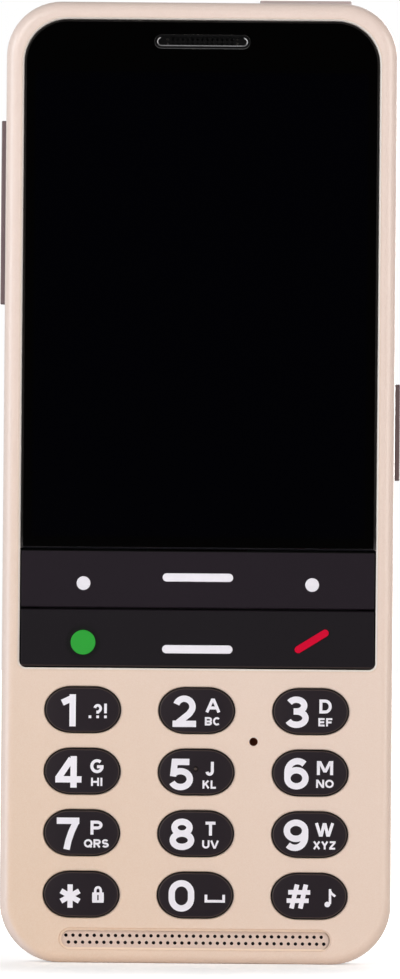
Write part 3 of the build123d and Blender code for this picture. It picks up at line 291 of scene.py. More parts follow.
def trace_group():
    """Copper traces and pads that show through the resist of a board."""
    tree, start, end = new_group("Board traces", {"Vector": ORIGIN}, ("Trace", "Pad"))
    cells = add_node(tree, "ShaderNodeTexVoronoi", Scale=420.0)
    cells.distance = "CHEBYCHEV"
    cells.feature = "F1"
    tree.links.new(start.outputs["Vector"], cells.inputs["Vector"])
    rings = math_node(tree, "PINGPONG", product(tree, cells.outputs["Distance"], 6.0), 1.0)
    tree.links.new(ramp_value(tree, rings, 0.35, 0.5), end.inputs["Trace"])
    dots = add_node(tree, "ShaderNodeTexVoronoi", Scale=900.0)
    tree.links.new(start.outputs["Vector"], dots.inputs["Vector"])
    tree.links.new(ramp_value(tree, dots.outputs["Distance"], 0.22, 0.16), end.inputs["Pad"])
    return tree


GROUPS = {}


def group(name):
    """The shared node group of that name, built once."""
    builders = {"grain": grain_group, "flake": flake_group, "brushed": brushed_group, "trace": trace_group}
    if name not in GROUPS:
        GROUPS[name] = builders[name]()
    return GROUPS[name]


# Finish and piece helpers


class Finish:
    """A material with a Principled shader, object coordinates and helpers to dress it."""

    def __init__(self, name, **sockets):
        self.material = bpy.data.materials.new(name)
        self.material.use_nodes = True
        self.tree = self.material.node_tree
        self.shader = self.tree.nodes["Principled BSDF"]
        for socket, value in sockets.items():
            self.shader.inputs[socket.replace("_", " ")].default_value = value
        self.place = self.tree.nodes.new("ShaderNodeTexCoord").outputs["Object"]

    def add_group(self, name, **sockets):
        node = self.tree.nodes.new("ShaderNodeGroup")
        node.node_tree = group(name)
        self.tree.links.new(self.place, node.inputs["Vector"])
        for socket, value in sockets.items():
            node.inputs[socket.replace("_", " ")].default_value = value
        return node.outputs

    def axis(self, name):
        """One coordinate of the surface point, in metres."""
        node = self.tree.nodes.new("ShaderNodeSeparateXYZ")
        self.tree.links.new(self.place, node.inputs[0])
        return node.outputs[name]

    def along(self, name, low, high, start=0.0, end=1.0):
        """Maps one coordinate of the surface point from a range of places to a range of values."""
        return ramp_value(self.tree, self.axis(name), low, high, start, end)

    def slant(self, flat, steep, axis="Y"):
        """How far the surface leans, from 0 at one value of its normal along an axis to 1 at the other."""
        facing = self.tree.nodes.new("ShaderNodeNewGeometry")
        split = self.tree.nodes.new("ShaderNodeSeparateXYZ")
        self.tree.links.new(facing.outputs["Normal"], split.inputs[0])
        return ramp_value(self.tree, split.outputs[axis], flat, steep)

    def colour(self, mask, first, second):
        """A base colour that is the first colour where a mask is 0, and the second where it is 1."""
        mixed = mix_colour(self.tree, mask, first, second)
        self.tree.links.new(mixed, self.shader.inputs["Base Color"])

    def tint(self, mask, colour):
        """Lays a colour over the base colour so far where a mask is 1."""
        base = self.shader.inputs["Base Color"].links[0].from_socket
        self.colour(mask, base, colour)

    def roughness(self, value, low, high):
        """Roughness that follows a noise, whose values lie mostly between 0.2 and 0.8."""
        rough = ramp_value(self.tree, value, 0.2, 0.8, low, high)
        self.tree.links.new(rough, self.shader.inputs["Roughness"])

    def bump(self, height, distance):
        node = add_node(self.tree, "ShaderNodeBump", Strength=1.0, Distance=distance)
        self.tree.links.new(height, node.inputs["Height"])
        self.tree.links.new(node.outputs["Normal"], self.shader.inputs["Normal"])


def shade(colour, factor):
    """A colour made lighter or darker."""
    return tuple(min(1.0, part * factor) for part in colour)


def paint(piece, finish):
    """Gives a piece one finish all over."""
    piece.data.materials.clear()
    piece.data.materials.append(finish.material)


def dress(finish, *nodes):
    """Puts a finish on carried-over nodes."""
    for name in nodes:
        paint(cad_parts[name], finish)


def middle(name):
    """Middle of a node across x and z, in metres."""
    low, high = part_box(name)
    return (low[0] + high[0]) / 2, (low[2] + high[2]) / 2


def half_size(name):
    """Half of a node's width and of its height, in metres."""
    low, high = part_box(name)
    return (high[0] - low[0]) / 2, (high[2] - low[2]) / 2


# Finishes


def lacquer(name, colour, warm):
    """Satin champagne lacquer with fine flakes, a little warmer low on the left of the face."""
    finish = Finish(name, Coat_Weight=0.5, Coat_Roughness=0.25, Coat_IOR=1.5, IOR=1.45)
    tree = finish.tree
    low = finish.along("Z", 110 * MM, -10 * MM)
    left = finish.along("X", 24 * MM, -30 * MM, 0.5, 1.0)
    face = finish.slant(-0.5, -0.1, "X")
    finish.colour(product(tree, low, left, face), colour, warm)
    flake = finish.add_group("flake")
    pale_flake = (1.0, 0.93, 0.88)
    finish.tint(ramp_value(tree, flake["Flake"], 0.0, 1.0, 0.0, 0.1), pale_flake)
    slow = finish.add_group("grain", Slow_Scale=60.0)
    finish.tint(ramp_value(tree, slow["Tone"], 0.3, 0.7, 0.0, 0.05), shade(warm, 0.9))
    finish.roughness(flake["Flake"], 0.36, 0.46)
    finish.bump(flake["Height"], 0.01 * MM)
    return finish


def plastic(name, colour, rough=0.5, grain=0.01, fine_scale=7000.0, **sockets):
    """Moulded plastic with a fine spark-eroded grain."""
    finish = Finish(name, **sockets)
    texture = finish.add_group("grain", Fine_Scale=fine_scale)
    tone = ramp_value(finish.tree, texture["Tone"], 0.25, 0.75)
    finish.colour(tone, shade(colour, 0.96), shade(colour, 1.04))
    finish.roughness(texture["Height"], rough - 0.07, rough + 0.07)
    finish.bump(texture["Height"], grain * MM)
    return finish


def metal(name, colour, rough=0.3, stretch=(200.0, 9000.0, 9000.0)):
    """Metal with fine lines along the axis whose stretch is lowest."""
    finish = Finish(name, Metallic=1.0)
    lines = finish.add_group("brushed", Stretch=stretch)
    finish.colour(lines["Tone"], shade(colour, 0.86), shade(colour, 1.08))
    finish.roughness(lines["Height"], rough - 0.08, rough + 0.1)
    finish.bump(lines["Height"], 0.002 * MM)
    return finish


def key_finish(looks):
    """Matt black caps with a faint painted brown reflection on the chamfer and painted shade on their sides.
    """
    finish = plastic("Key plastic", looks.key, rough=0.5, grain=0.006, Specular_IOR_Level=0.25)
    # Painted light: a brown reflection of the shell on the chamfer, and shade down the sides in the key's
    # gap.
    brown_light = (0.07, 0.046, 0.041)
    side_shade = (0.005, 0.0015, 0.001)
    finish.tint(finish.slant(-0.999, -0.985), brown_light)
    finish.tint(finish.slant(-0.94, -0.85), side_shade)
    return finish


def glass_finish(looks):
    """Black-backed glass over a switched-off display, with a painted grey reflection on the bevel along its
    foot.
    """
    finish = Finish("Black glass", IOR=1.5, Specular_IOR_Level=0.18, Coat_Roughness=0.04)
    tree = finish.tree
    low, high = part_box("lcd_panel")
    soft = 0.2 * MM
    across = between(tree, finish.axis("X"), low[0], high[0], soft)
    rise = between(tree, finish.axis("Z"), low[2], high[2], soft)
    finish.colour(product(tree, rise, across), looks.glass, looks.display)
    haze = finish.add_group("grain", Fine_Scale=900.0, Slow_Scale=25.0)
    finish.roughness(haze["Tone"], 0.03, 0.06)
    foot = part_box("display_lens")[0][2]
    upper = finish.along("Z", foot + 0.4 * MM, foot + 2 * MM)
    bevel = finish.slant(-0.999, -0.97)
    lower_bevel = product(tree, bevel, math_node(tree, "SUBTRACT", 1.0, upper))
    # A painted reflection: the lower bevel is tinted grey where its polished edge catches light.
    bevel_reflection = (0.009, 0.0085, 0.011)
    finish.tint(lower_bevel, bevel_reflection)
    full_coat = 0.65
    polished = math_node(tree, "SUBTRACT", 1.0, product(tree, bevel, upper))
    tree.links.new(product(tree, polished, full_coat), finish.shader.inputs["Coat Weight"])
    return finish


def board_finish(looks):
    """Green boards with traces under the resist and gilt pads."""
    finish = Finish("Board", Coat_Weight=0.4, Coat_Roughness=0.25)
    traces = finish.add_group("trace")
    gilt = (0.75, 0.62, 0.3)
    finish.colour(traces["Trace"], looks.board, shade(looks.board, 2.2))
    finish.tint(traces["Pad"], gilt)
    finish.tree.links.new(traces["Pad"], finish.shader.inputs["Metallic"])
    finish.roughness(traces["Trace"], 0.35, 0.5)
    finish.bump(traces["Trace"], 0.02 * MM)
    return finish


def spine_distance(finish, name):
    """How far a point of the face lies from the middle line of a round-ended node.

    It also gives how far the point lies past the line's ends, and how far above the line.
    """
    tree = finish.tree
    middle_x, middle_z = middle(name)
    half_width, half_height = half_size(name)
    aside = math_node(tree, "ABSOLUTE", math_node(tree, "SUBTRACT", finish.axis("X"), middle_x))
    past_end = math_node(tree, "SUBTRACT", aside, half_width - half_height)
    beyond = math_node(tree, "MAXIMUM", past_end, 0.0)
    rise = math_node(tree, "SUBTRACT", finish.axis("Z"), middle_z)
    return hypotenuse(tree, beyond, rise), beyond, rise


def earpiece_finish():
    """Dark polished rim of the earpiece, with painted highlights on its lower inner edge and round its two
    ends, and a faint painted highlight on its lower outer edge.
    """
    finish = Finish("Earpiece metal", Specular_IOR_Level=0.12)
    tree = finish.tree
    far, beyond, rise = spine_distance(finish, "earpiece_grille")
    half = half_size("earpiece_grille")[1]
    # Painted highlights: the lower inner edge, the upper ends and the faint lower outer edge are tinted near
    # white.
    inner_edge = between(tree, far, half * 0.5, half * 0.64, half * 0.03)
    lower_side = ramp_value(tree, rise, -half * 0.1, -half * 0.4, 0.0, 0.3)
    past_end = ramp_value(tree, beyond, 0.0, half * 0.25)
    ends = product(tree, past_end, ramp_value(tree, rise, -half * 0.5, -half * 0.1))
    glints = product(tree, inner_edge, math_node(tree, "MAXIMUM", lower_side, ends))
    outer_edge = ramp_value(tree, far, half * 0.9, half * 0.97)
    faint = product(tree, outer_edge, ramp_value(tree, rise, 0.0, -half, 0.01, 0.1))
    grain = finish.add_group("grain", Fine_Scale=4000.0)
    tone = ramp_value(tree, grain["Tone"], 0.3, 0.7)
    black_metal = (0.0012, 0.00105, 0.0012)
    glint_colour = (0.86, 0.84, 0.86)
    finish.colour(tone, shade(black_metal, 2 / 3), shade(black_metal, 4 / 3))
    finish.tint(math_node(tree, "MAXIMUM", glints, faint), glint_colour)
    finish.roughness(grain["Height"], 0.25, 0.4)
    finish.bump(grain["Height"], 0.002 * MM)
    return finish


def bar_finish(looks, name):
    """Black plastic of a bar, with painted warm reflections on its outer edges.

    The upper bar has a painted shade line along its head, and the lower bar, darker all over, a painted
    shade ring round the call mark.
    """
    upper = name == "nav_bar_upper"
    colour = shade(looks.bar, 1.0 if upper else 0.5)
    finish = plastic("Bar plastic", colour, rough=0.5, grain=0.004, Specular_IOR_Level=0.2)
    tree = finish.tree
    # Painted light: the warm colour is a painted reflection of the shell on the bevels, and the black is
    # painted shade.
    warm_light = (0.04, 0.026, 0.024)
    shade_black = (0.001, 0.001, 0.001)
    low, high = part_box(name)
    edge = 0.3 * MM
    aside = math_node(tree, "ABSOLUTE", finish.axis("X"))
    side = ramp_value(tree, aside, high[0] - edge, high[0] - edge / 2)
    bevel = finish.slant(-0.97, -0.9)
    if upper:
        lit = side
        shade_line = product(tree, bevel, finish.along("Z", high[2] - edge, high[2] - edge / 2))
    else:
        foot = finish.along("Z", low[2] + edge, low[2] + edge / 2)
        lit = math_node(tree, "MAXIMUM", side, foot)
        far = spine_distance(finish, "call_mark")[0]
        half = half_size("call_mark")[1]
        outside = ramp_value(tree, far, half, half * 1.08)
        shade_line = product(tree, outside, ramp_value(tree, far, half * 1.5, half * 1.16, 0.0, 0.85))
    finish.tint(product(tree, bevel, lit), warm_light)
    finish.tint(shade_line, shade_black)
    return finish


def dome_finish():
    """Black film, painted paler where it rides up over the round domes under it, a painted sheen on their
    crests.
    """
    finish = Finish("Dome film", Coat_Weight=0.3, Coat_Roughness=0.3)
    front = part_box("dome_film")[0][1]
    black_film = (0.008, 0.007, 0.008)
    # A painted sheen: the film is paler on the dome crests.
    dome_sheen = (0.03, 0.028, 0.03)
    on_dome = finish.along("Y", front + 0.36 * MM, front + 0.28 * MM)
    grain = finish.add_group("grain", Fine_Scale=3000.0)
    finish.colour(on_dome, black_film, dome_sheen)
    finish.roughness(grain["Tone"], 0.4, 0.55)
    finish.bump(grain["Height"], 0.004 * MM)
    return finish


def battery_finish():
    """Grey film round the cell, with black plastic at both ends."""
    finish = Finish("Battery wrap", Coat_Weight=0.3, Coat_Roughness=0.3)
    tree = finish.tree
    grey_film, pale_film = (0.045, 0.047, 0.055), (0.06, 0.062, 0.07)
    black_end = (0.015, 0.015, 0.016)
    low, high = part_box("battery")
    head, foot, soft = 3.2 * MM, 1.6 * MM, 0.1 * MM
    top = finish.along("Z", high[2] - head, high[2] - head + soft)
    bottom = finish.along("Z", low[2] + foot, low[2] + foot - soft)
    grain = finish.add_group("grain", Fine_Scale=2500.0)
    finish.colour(ramp_value(tree, grain["Tone"], 0.3, 0.7), grey_film, pale_film)
    finish.tint(math_node(tree, "MAXIMUM", top, bottom), black_end)
    finish.roughness(grain["Height"], 0.38, 0.5)
    finish.bump(grain["Height"], 0.01 * MM)
    return finish


def window_glass():
    """Clear window over the camera."""
    finish = Finish("Camera window", Transmission_Weight=1.0, IOR=1.5)
    blue_tint, pale_tint = (0.62, 0.66, 0.74), (0.7, 0.72, 0.78)
    haze = finish.add_group("grain", Fine_Scale=800.0, Slow_Scale=120.0)
    finish.colour(haze["Tone"], blue_tint, pale_tint)
    finish.roughness(haze["Tone"], 0.02, 0.05)
    return finish


def opening_distance(finish, sizes):
    """How far a point of the face lies outside the opening for the glass and the bars."""
    tree = finish.tree
    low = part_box("nav_bar_lower")[0][2] - sizes.foot_gap
    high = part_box("display_lens")[1][2] + sizes.gap
    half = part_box("display_lens")[1][0] + sizes.gap
    rise = math_node(tree, "SUBTRACT", finish.axis("Z"), (low + high) / 2)
    corner = ramp_value(tree, rise, -MM, MM, sizes.bottom_corner, sizes.top_corner)
    past_corner = []
    for value, reach in ((finish.axis("X"), half), (rise, (high - low) / 2)):
        straight = math_node(tree, "SUBTRACT", reach, corner)
        beyond = math_node(tree, "SUBTRACT", math_node(tree, "ABSOLUTE", value), straight)
        past_corner.append(math_node(tree, "MAXIMUM", beyond, 0.0))
    return math_node(tree, "SUBTRACT", hypotenuse(tree, *past_corner), corner)


def front_lacquer(looks, sizes):
    """The champagne lacquer, with a painted highlight on a lip round the opening and a faint painted shade
    beside it.
    """
    finish = lacquer("Champagne lacquer", looks.shell_pink, looks.shell_warm)
    tree = finish.tree
    far = opening_distance(finish, sizes)
    # Painted light: a pale highlight on the lip round the opening, and painted shade on the face just beside
    # it.
    lip = ramp_value(tree, far, sizes.lip * 1.3, sizes.lip * 0.7, 0.0, 0.8)
    lip_shade = ramp_value(tree, far, sizes.lip_shade, sizes.lip, 0.0, 0.45)
    lip_highlight = (1.0, 0.92, 0.86)
    finish.tint(lip_shade, shade(looks.shell_warm, 0.86))
    finish.tint(lip, lip_highlight)
    return finish


def strip_lacquer():
    """The speaker strip's lacquer, painted darker than the shell as shade in its slot, with more painted
    shade along its upper edge.
    """
    # The strip's colour is the shell's champagne darkened as painted shade; the upper band is a painted
    # shadow.
    strip = srgb(216, 189, 174)
    in_shade = srgb(186, 156, 139)
    finish = lacquer("Speaker strip", strip, strip)
    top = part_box("speaker_grille")[1][2]
    finish.tint(finish.along("Z", top - 0.75 * MM, top - 0.1 * MM, 0.0, 0.75), in_shade)
    return finish


class PHONE_OT_shell_finish(bpy.types.Operator):
    """Lacquers the housings and the cover"""

    bl_idname = "phone.shell_finish"
    bl_label = "Shell finish"

    def execute(self, context):
        looks = context.scene.phone_finishes
        dress(front_lacquer(looks, context.scene.phone_opening), "front_housing")
        dress(lacquer("Cover lacquer", looks.shell_pink, looks.shell_warm), "battery_cover")
        dress(plastic("Side band", looks.band, rough=0.42, grain=0.006), "rear_housing")
        dress(strip_lacquer(), "speaker_grille")
        return {"FINISHED"}


class PHONE_OT_front_finish(bpy.types.Operator):
    """Finishes the glass, the bars, their marks and the earpiece"""

    bl_idname = "phone.front_finish"
    bl_label = "Glass and bar finish"

    def execute(self, context):
        looks = context.scene.phone_finishes
        dress(glass_finish(looks), "display_lens")
        for bar in ("nav_bar_upper", "nav_bar_lower"):
            dress(bar_finish(looks, bar), bar)
        white = plastic("White mark", looks.white, rough=0.45, grain=0.002)
        dress(white, "upper_bar_marks", "lower_bar_mark")
        dress(plastic("Green mark", looks.green, rough=0.4, grain=0.002), "call_mark")
        red = plastic("Red mark", looks.red, rough=0.4, grain=0.002, Specular_IOR_Level=0.1)
        dress(red, "end_mark")
        dress(earpiece_finish(), "earpiece_grille")
        return {"FINISHED"}


class PHONE_OT_key_finish(bpy.types.Operator):
    """Finishes the number keys and the side, top and back keys"""

    bl_idname = "phone.key_finish"
    bl_label = "Key finish"

    def execute(self, context):
        looks = context.scene.phone_finishes
        dress(key_finish(looks), *KEY_NAMES)
        side = plastic("Side key plastic", looks.side_key, rough=0.34, grain=0.003)
        dress(side, "volume_rocker", "side_key")
        dress(plastic("Top key plastic", looks.top_key, rough=0.34, grain=0.003), "power_key")
        dress(plastic("Back key plastic", looks.bar, rough=0.45, grain=0.006), "assist_key")
        return {"FINISHED"}


class PHONE_OT_inner_finish(bpy.types.Operator):
    """Finishes everything inside the phone, and the camera, sockets and screws"""

    bl_idname = "phone.inner_finish"
    bl_label = "Inner finish"

    def execute(self, context):
        looks = context.scene.phone_finishes
        black = (0.012, 0.012, 0.013)
        brown = (0.22, 0.05, 0.012)
        dress(board_finish(looks), "keypad_board", "main_board", "usb_board")
        dress(dome_finish(), "dome_film")
        rubber = plastic("Silicone", looks.silicone, rough=0.6, grain=0.01, Specular_IOR_Level=0.2)
        dress(rubber, "keypad_mat", "nav_pivot_upper", "nav_pivot_lower")
        gasket = plastic("Brown silicone", brown, rough=0.6, grain=0.01, Specular_IOR_Level=0.2)
        dress(gasket, "mic_gasket", "microphone")
        dress(plastic("Tape", black, rough=0.8, grain=0.02), "lens_adhesive")
        dress(plastic("Display cell", (0.01, 0.012, 0.016), rough=0.15, grain=0.001), "lcd_panel")
        dress(plastic("Backlight tray", (0.75, 0.75, 0.73), rough=0.5), "lcd_backlight")
        dress(plastic("Ribbon film", (0.02, 0.013, 0.009), rough=0.35, grain=0.004), "flex_ribbons")
        dress(plastic("Contact block", black, rough=0.5),
              "battery_contacts", "board_connector", "key_switches", "loudspeaker", "earpiece_receiver")
        dress(plastic("Jack plastic", (0.016, 0.016, 0.017), rough=0.4), "headphone_jack")
        dress(plastic("Camera black", black, rough=0.35, grain=0.004), "camera_module")
        dress(plastic("Flash window", (0.85, 0.8, 0.5), rough=0.2, Transmission_Weight=0.3), "flash_lens")
        dress(window_glass(), "camera_window")
        chassis = plastic("Chassis", (0.02, 0.02, 0.021), rough=0.5, grain=0.015, Specular_IOR_Level=0.3)
        dress(chassis, "chassis_plate")
        tin = metal("Tinned steel", (0.62, 0.62, 0.6), rough=0.3)
        dress(tin, "shield_cans", "card_holders", "usb_socket", "vibration_motor", "antenna")
        dress(metal("Blackened steel", (0.13, 0.13, 0.14), rough=0.35), "housing_screws", "board_screws")
        ring = metal("Turned ring", (0.62, 0.5, 0.44), rough=0.24, stretch=(9000.0, 300.0, 9000.0))
        dress(ring, "camera_ring")
        dress(battery_finish(), "battery")
        return {"FINISHED"}


# Legends


# Step along an arc in degrees, and the longest step of a stroke in millimetres
ARC_STEP = 11.0
LONGEST_STEP = 0.6


def arc(cx, cz, rx, rz, start, end):
    """Points along part of an ellipse, angles in degrees from +X."""
    steps = max(3, round(abs(end - start) / ARC_STEP))
    angles = [math.radians(start + (end - start) * step / steps) for step in range(steps + 1)]
    return [(cx + rx * math.cos(angle), cz + rz * math.sin(angle)) for angle in angles]


def turned(strokes):
    """The same strokes turned half round in their unit box."""
    return [[(1 - x, 1 - z) for x, z in stroke] for stroke in strokes]


OVAL = arc(0.5, 0.5, 0.5, 0.5, 90, 450)
BOWL_TOP = [(0, 1), (0.55, 1)] + arc(0.6, 0.735, 0.4, 0.265, 90, -90) + [(0.55, 0.47), (0, 0.47)]
BOWL_LOW = arc(0.6, 0.235, 0.4, 0.235, 90, -90) + [(0.55, 0), (0, 0)]
SIX = [arc(0.5, 0.32, 0.5, 0.32, 90, 450), arc(0.56, 0.56, 0.56, 0.44, 48, 180) + [(0, 0.42), (0, 0.3)]]

# A glyph is its width as a share of its height, and its strokes in a unit box. Strokes have flat ends, so
# one that ends in the open runs past the box by about half its width
GLYPHS = {
    "0": (0.77, [arc(0.5, 0.6, 0.5, 0.4, 0, 180) + arc(0.5, 0.4, 0.5, 0.4, 180, 360) + [(1, 0.6)]]),
    "1": (0.29, [[(1, -0.138), (1, 1.138)], [(-0.42, 0.8), (0.9, 0.985)]]),
    "2": (0.67, [arc(0.49, 0.68, 0.49, 0.32, 162, -25) + [(0.78, 0.4), (0.12, 0.04)],
                 [(-0.2, 0), (1.2, 0)]]),
    "3": (0.68, [arc(0.46, 0.765, 0.46, 0.235, 150, -90) + [(0.3, 0.53)],
                 [(0.3, 0.53)] + arc(0.47, 0.265, 0.53, 0.265, 90, -155)]),
    "4": (0.79, [[(0.65, 1.02), (-0.02, 0.24)], [(-0.16, 0.2), (1.16, 0.2)],
                 [(0.76, -0.127), (0.76, 1.127)]]),
    "5": (0.7, [[(0.97, 1), (0.14, 1), (0.05, 0.42)], arc(0.47, 0.315, 0.53, 0.315, 126, -155)]),
    "6": (0.72, SIX),
    "7": (0.65, [[(-0.19, 1), (1.19, 1)], [(0.97, 0.93), (0.72, 0.57), (0.54, 0.22), (0.42, -0.14)]]),
    "8": (0.73, [arc(0.5, 0.765, 0.41, 0.235, 90, 450), arc(0.5, 0.265, 0.5, 0.265, 90, 450)]),
    "9": (0.73, turned(SIX)),
    "*": (0.95, [[(0.5, -0.13), (0.5, 1.13)], [(-0.02, 0.22), (1.02, 0.78)], [(-0.02, 0.78), (1.02, 0.22)]]),
    "#": (1, [[(0.17, -0.07), (0.43, 1.07)], [(0.59, -0.07), (0.85, 1.07)],
              [(-0.06, 0.3), (0.99, 0.3)], [(0.01, 0.7), (1.06, 0.7)]]),
    "A": (0.95, [[(-0.08, -0.12), (0.43, 1), (0.57, 1), (1.08, -0.12)], [(0.2, 0.28), (0.8, 0.28)]]),
    "B": (0.81, [BOWL_TOP, [(0, 0.47), (0.55, 0.47)] + BOWL_LOW, [(0, 1.15), (0, -0.15)]]),
    "C": (0.92, [arc(0.5, 0.5, 0.5, 0.5, 48, 312)]),
    "D": (0.85, [[(0, 1), (0.4, 1)] + arc(0.45, 0.5, 0.55, 0.5, 90, -90) + [(0.4, 0), (0, 0)],
                 [(0, 1.137), (0, -0.137)]]),
    "E": (0.75, [[(1.1, 1), (0, 1), (0, 0), (1.1, 0)], [(0, 0.5), (1, 0.5)]]),
    "F": (0.7, [[(1.15, 1), (0, 1), (0, -0.14)], [(0, 0.48), (1, 0.48)]]),
    "G": (0.95, [arc(0.5, 0.5, 0.5, 0.5, 48, 345) + [(0.98, 0.45), (0.5, 0.45)]]),
    "H": (0.95, [[(0, -0.14), (0, 1.14)], [(1, -0.14), (1, 1.14)], [(0, 0.5), (1, 0.5)]]),
    "I": (0.12, [[(0.5, -0.14), (0.5, 1.14)]]),
    "J": (0.5, [[(1, 1.14), (1, 0.3)] + arc(0.5, 0.3, 0.5, 0.3, 0, -165)]),
    "K": (0.8, [[(0, -0.14), (0, 1.14)], [(0.95, 1.1), (0.06, 0.36)], [(0.4, 0.62), (1.02, -0.1)]]),
    "L": (0.62, [[(0, 1.14), (0, 0), (1.1, 0)]]),
    "M": (1.21, [[(0, -0.14), (0, 1), (0.13, 1), (0.45, 0.24), (0.55, 0.24), (0.87, 1), (1, 1),
                  (1, -0.14)]]),
    "N": (0.95, [[(0, -0.14), (0, 1), (0.12, 1), (0.88, 0), (1, 0), (1, 1.14)]]),
    "O": (1.04, [OVAL]),
    "P": (0.82, [BOWL_TOP, [(0, 1.137), (0, -0.137)]]),
    "Q": (1.03, [OVAL, [(0.62, 0.26), (1.02, -0.12)]]),
    "R": (0.83, [BOWL_TOP, [(0, 1.15), (0, -0.15)], [(0.45, 0.45), (1, -0.12)]]),
    "S": (0.81, [arc(0.5, 0.745, 0.46, 0.255, 30, 270) + arc(0.5, 0.245, 0.5, 0.245, 90, -150)]),
    "T": (0.7, [[(-0.15, 1), (1.15, 1)], [(0.5, 1), (0.5, -0.14)]]),
    "U": (0.85, [[(0, 1.14), (0, 0.38)] + arc(0.5, 0.38, 0.5, 0.38, 180, 360) + [(1, 1.14)]]),
    "V": (0.95, [[(-0.05, 1.1), (0.43, 0), (0.57, 0), (1.05, 1.1)]]),
    "W": (1.4, [[(-0.03, 1.1), (0.22, 0), (0.3, 0), (0.46, 0.96), (0.54, 0.96), (0.7, 0), (0.78, 0),
                  (1.03, 1.1)]]),
    "X": (0.8, [[(-0.03, -0.1), (1.03, 1.1)], [(-0.03, 1.1), (1.03, -0.1)]]),
    "Y": (0.8, [[(-0.03, 1.1), (0.5, 0.45), (1.03, 1.1)], [(0.5, 0.5), (0.5, -0.14)]]),
    "Z": (0.7, [[(-0.1, 1), (1, 1), (1, 0.92), (0, 0.08), (0, 0), (1.1, 0)]]),
    ".": (0.09, [[(0.5, -0.14), (0.5, 0.1)]]),
    "?": (0.51, [arc(0.5, 0.72, 0.5, 0.28, 170, -75), [(0.5, 0.54), (0.5, 0.27)],
                 [(0.5, -0.14), (0.5, 0.1)]]),
    "!": (0.1, [[(0.5, 1.16), (0.5, 0.3)], [(0.5, -0.14), (0.5, 0.1)]]),
    "lock": (0.65, [[(0.8, 0.5)] + arc(0.5, 0.76, 0.3, 0.24, 0, 180) + [(0.2, 0.5)],
                    [(-0.119, 0.55), (1.119, 0.55)], [(-0.119, 0), (1.119, 0)]]
                   + [[(x, 0), (x, 0.55)] for x in (0, 0.2, 0.29, 0.71, 0.8, 1)]),
    "space": (3.39, [[(0, 1.25), (0, 0), (1, 0), (1, 1.25)]]),
    "note": (0.68, [[(0.52, 0.12), (0.52, 1.1)], [(0.52, 0.98), (0.66, 0.82), (1.02, 0.62)],
                    arc(0.27, 0.1, 0.16, 0.1, 90, 450), [(0.2, 0.1), (0.34, 0.1)]]),
}

# A kind of print: its height, its stroke, and its middle and foot from the key's middle, in millimetres
Print = namedtuple("Print", "height stroke across foot")
PRINTS = {
    "figure": Print(height=4.46, stroke=0.9, across=-1.95, foot=-2.33),
    "star": Print(height=3.36, stroke=0.74, across=-1.57, foot=-1.94),
    "hash": Print(height=3.62, stroke=0.65, across=-1.52, foot=-1.86),
    "letter": Print(height=1.98, stroke=0.43, across=2.09, foot=-0.25),
    "small": Print(height=1.18, stroke=0.27, across=2.09, foot=-2.08),
    "marks": Print(height=1.97, stroke=0.38, across=2.13, foot=-1.15),
    "lock": Print(height=2.35, stroke=0.35, across=2.38, foot=-1.17),
    "space": Print(height=1.12, stroke=0.38, across=2.78, foot=-1.02),
    "note": Print(height=2.52, stroke=0.34, across=2.92, foot=-1.53),
}
LETTERS = {"2": "ABC", "3": "DEF", "4": "GHI", "5": "JKL", "6": "MNO", "7": "PQRS", "8": "TUV", "9": "WXYZ"}
LEGENDS = {
    "key_1": (("figure", "1"), ("marks", ".?!")),
    "key_star": (("star", "*"), ("lock", "lock")),
    "key_0": (("figure", "0"), ("space", "space")),
    "key_hash": (("hash", "#"), ("note", "note")),
}
for figure, letters in LETTERS.items():
    LEGENDS["key_" + figure] = (("figure", figure), ("letter", letters[0]), ("small", letters[1:]))


def place_strokes(text, kind, gap_share=0.12):
    """The strokes of a text, set out round its middle, in millimetres."""
    names = [text] if text in GLYPHS else list(text)
    inner = kind.height - kind.stroke
    gap = kind.stroke + gap_share * kind.height
    widths = [GLYPHS[name][0] * inner for name in names]
    x = kind.across - (sum(widths) + gap * (len(names) - 1)) / 2
    placed = []
    foot = kind.foot + kind.stroke / 2
    for name, width in zip(names, widths):
        for points in GLYPHS[name][1]:
            placed.append([(x + across * width, foot + up * inner) for across, up in points])
        x += width + gap
    return placed


def select_only(piece):
    """Makes a piece the only selected and the active one."""
    bpy.ops.object.select_all(action="DESELECT")
    piece.select_set(True)
    bpy.context.view_layer.objects.active = piece


def apply_modifier(piece, kind, **settings):
    """Adds a modifier with its settings and applies it."""
    select_only(piece)
    modifier = piece.modifiers.new(kind, kind)
    for name, value in settings.items():
        setattr(modifier, name, value)
    bpy.ops.object.modifier_apply(modifier=modifier.name)


def edit_all(piece, operator, **settings):
    """Runs an edit-mode operator on the whole of a piece."""
    select_only(piece)
    bpy.ops.object.mode_set(mode="EDIT")
    bpy.ops.mesh.select_all(action="SELECT")
    operator(**settings)
    bpy.ops.object.mode_set(mode="OBJECT")


def short_steps(points):
    """The same path with points so close that it can follow a key's dome."""
    path = [points[0]]
    for (x0, z0), (x1, z1) in zip(points, points[1:]):
        steps = max(1, math.ceil(math.hypot(x1 - x0, z1 - z0) / LONGEST_STEP))
        for step in range(1, steps + 1):
            path.append((x0 + (x1 - x0) * step / steps, z0 + (z1 - z0) * step / steps))
    return path


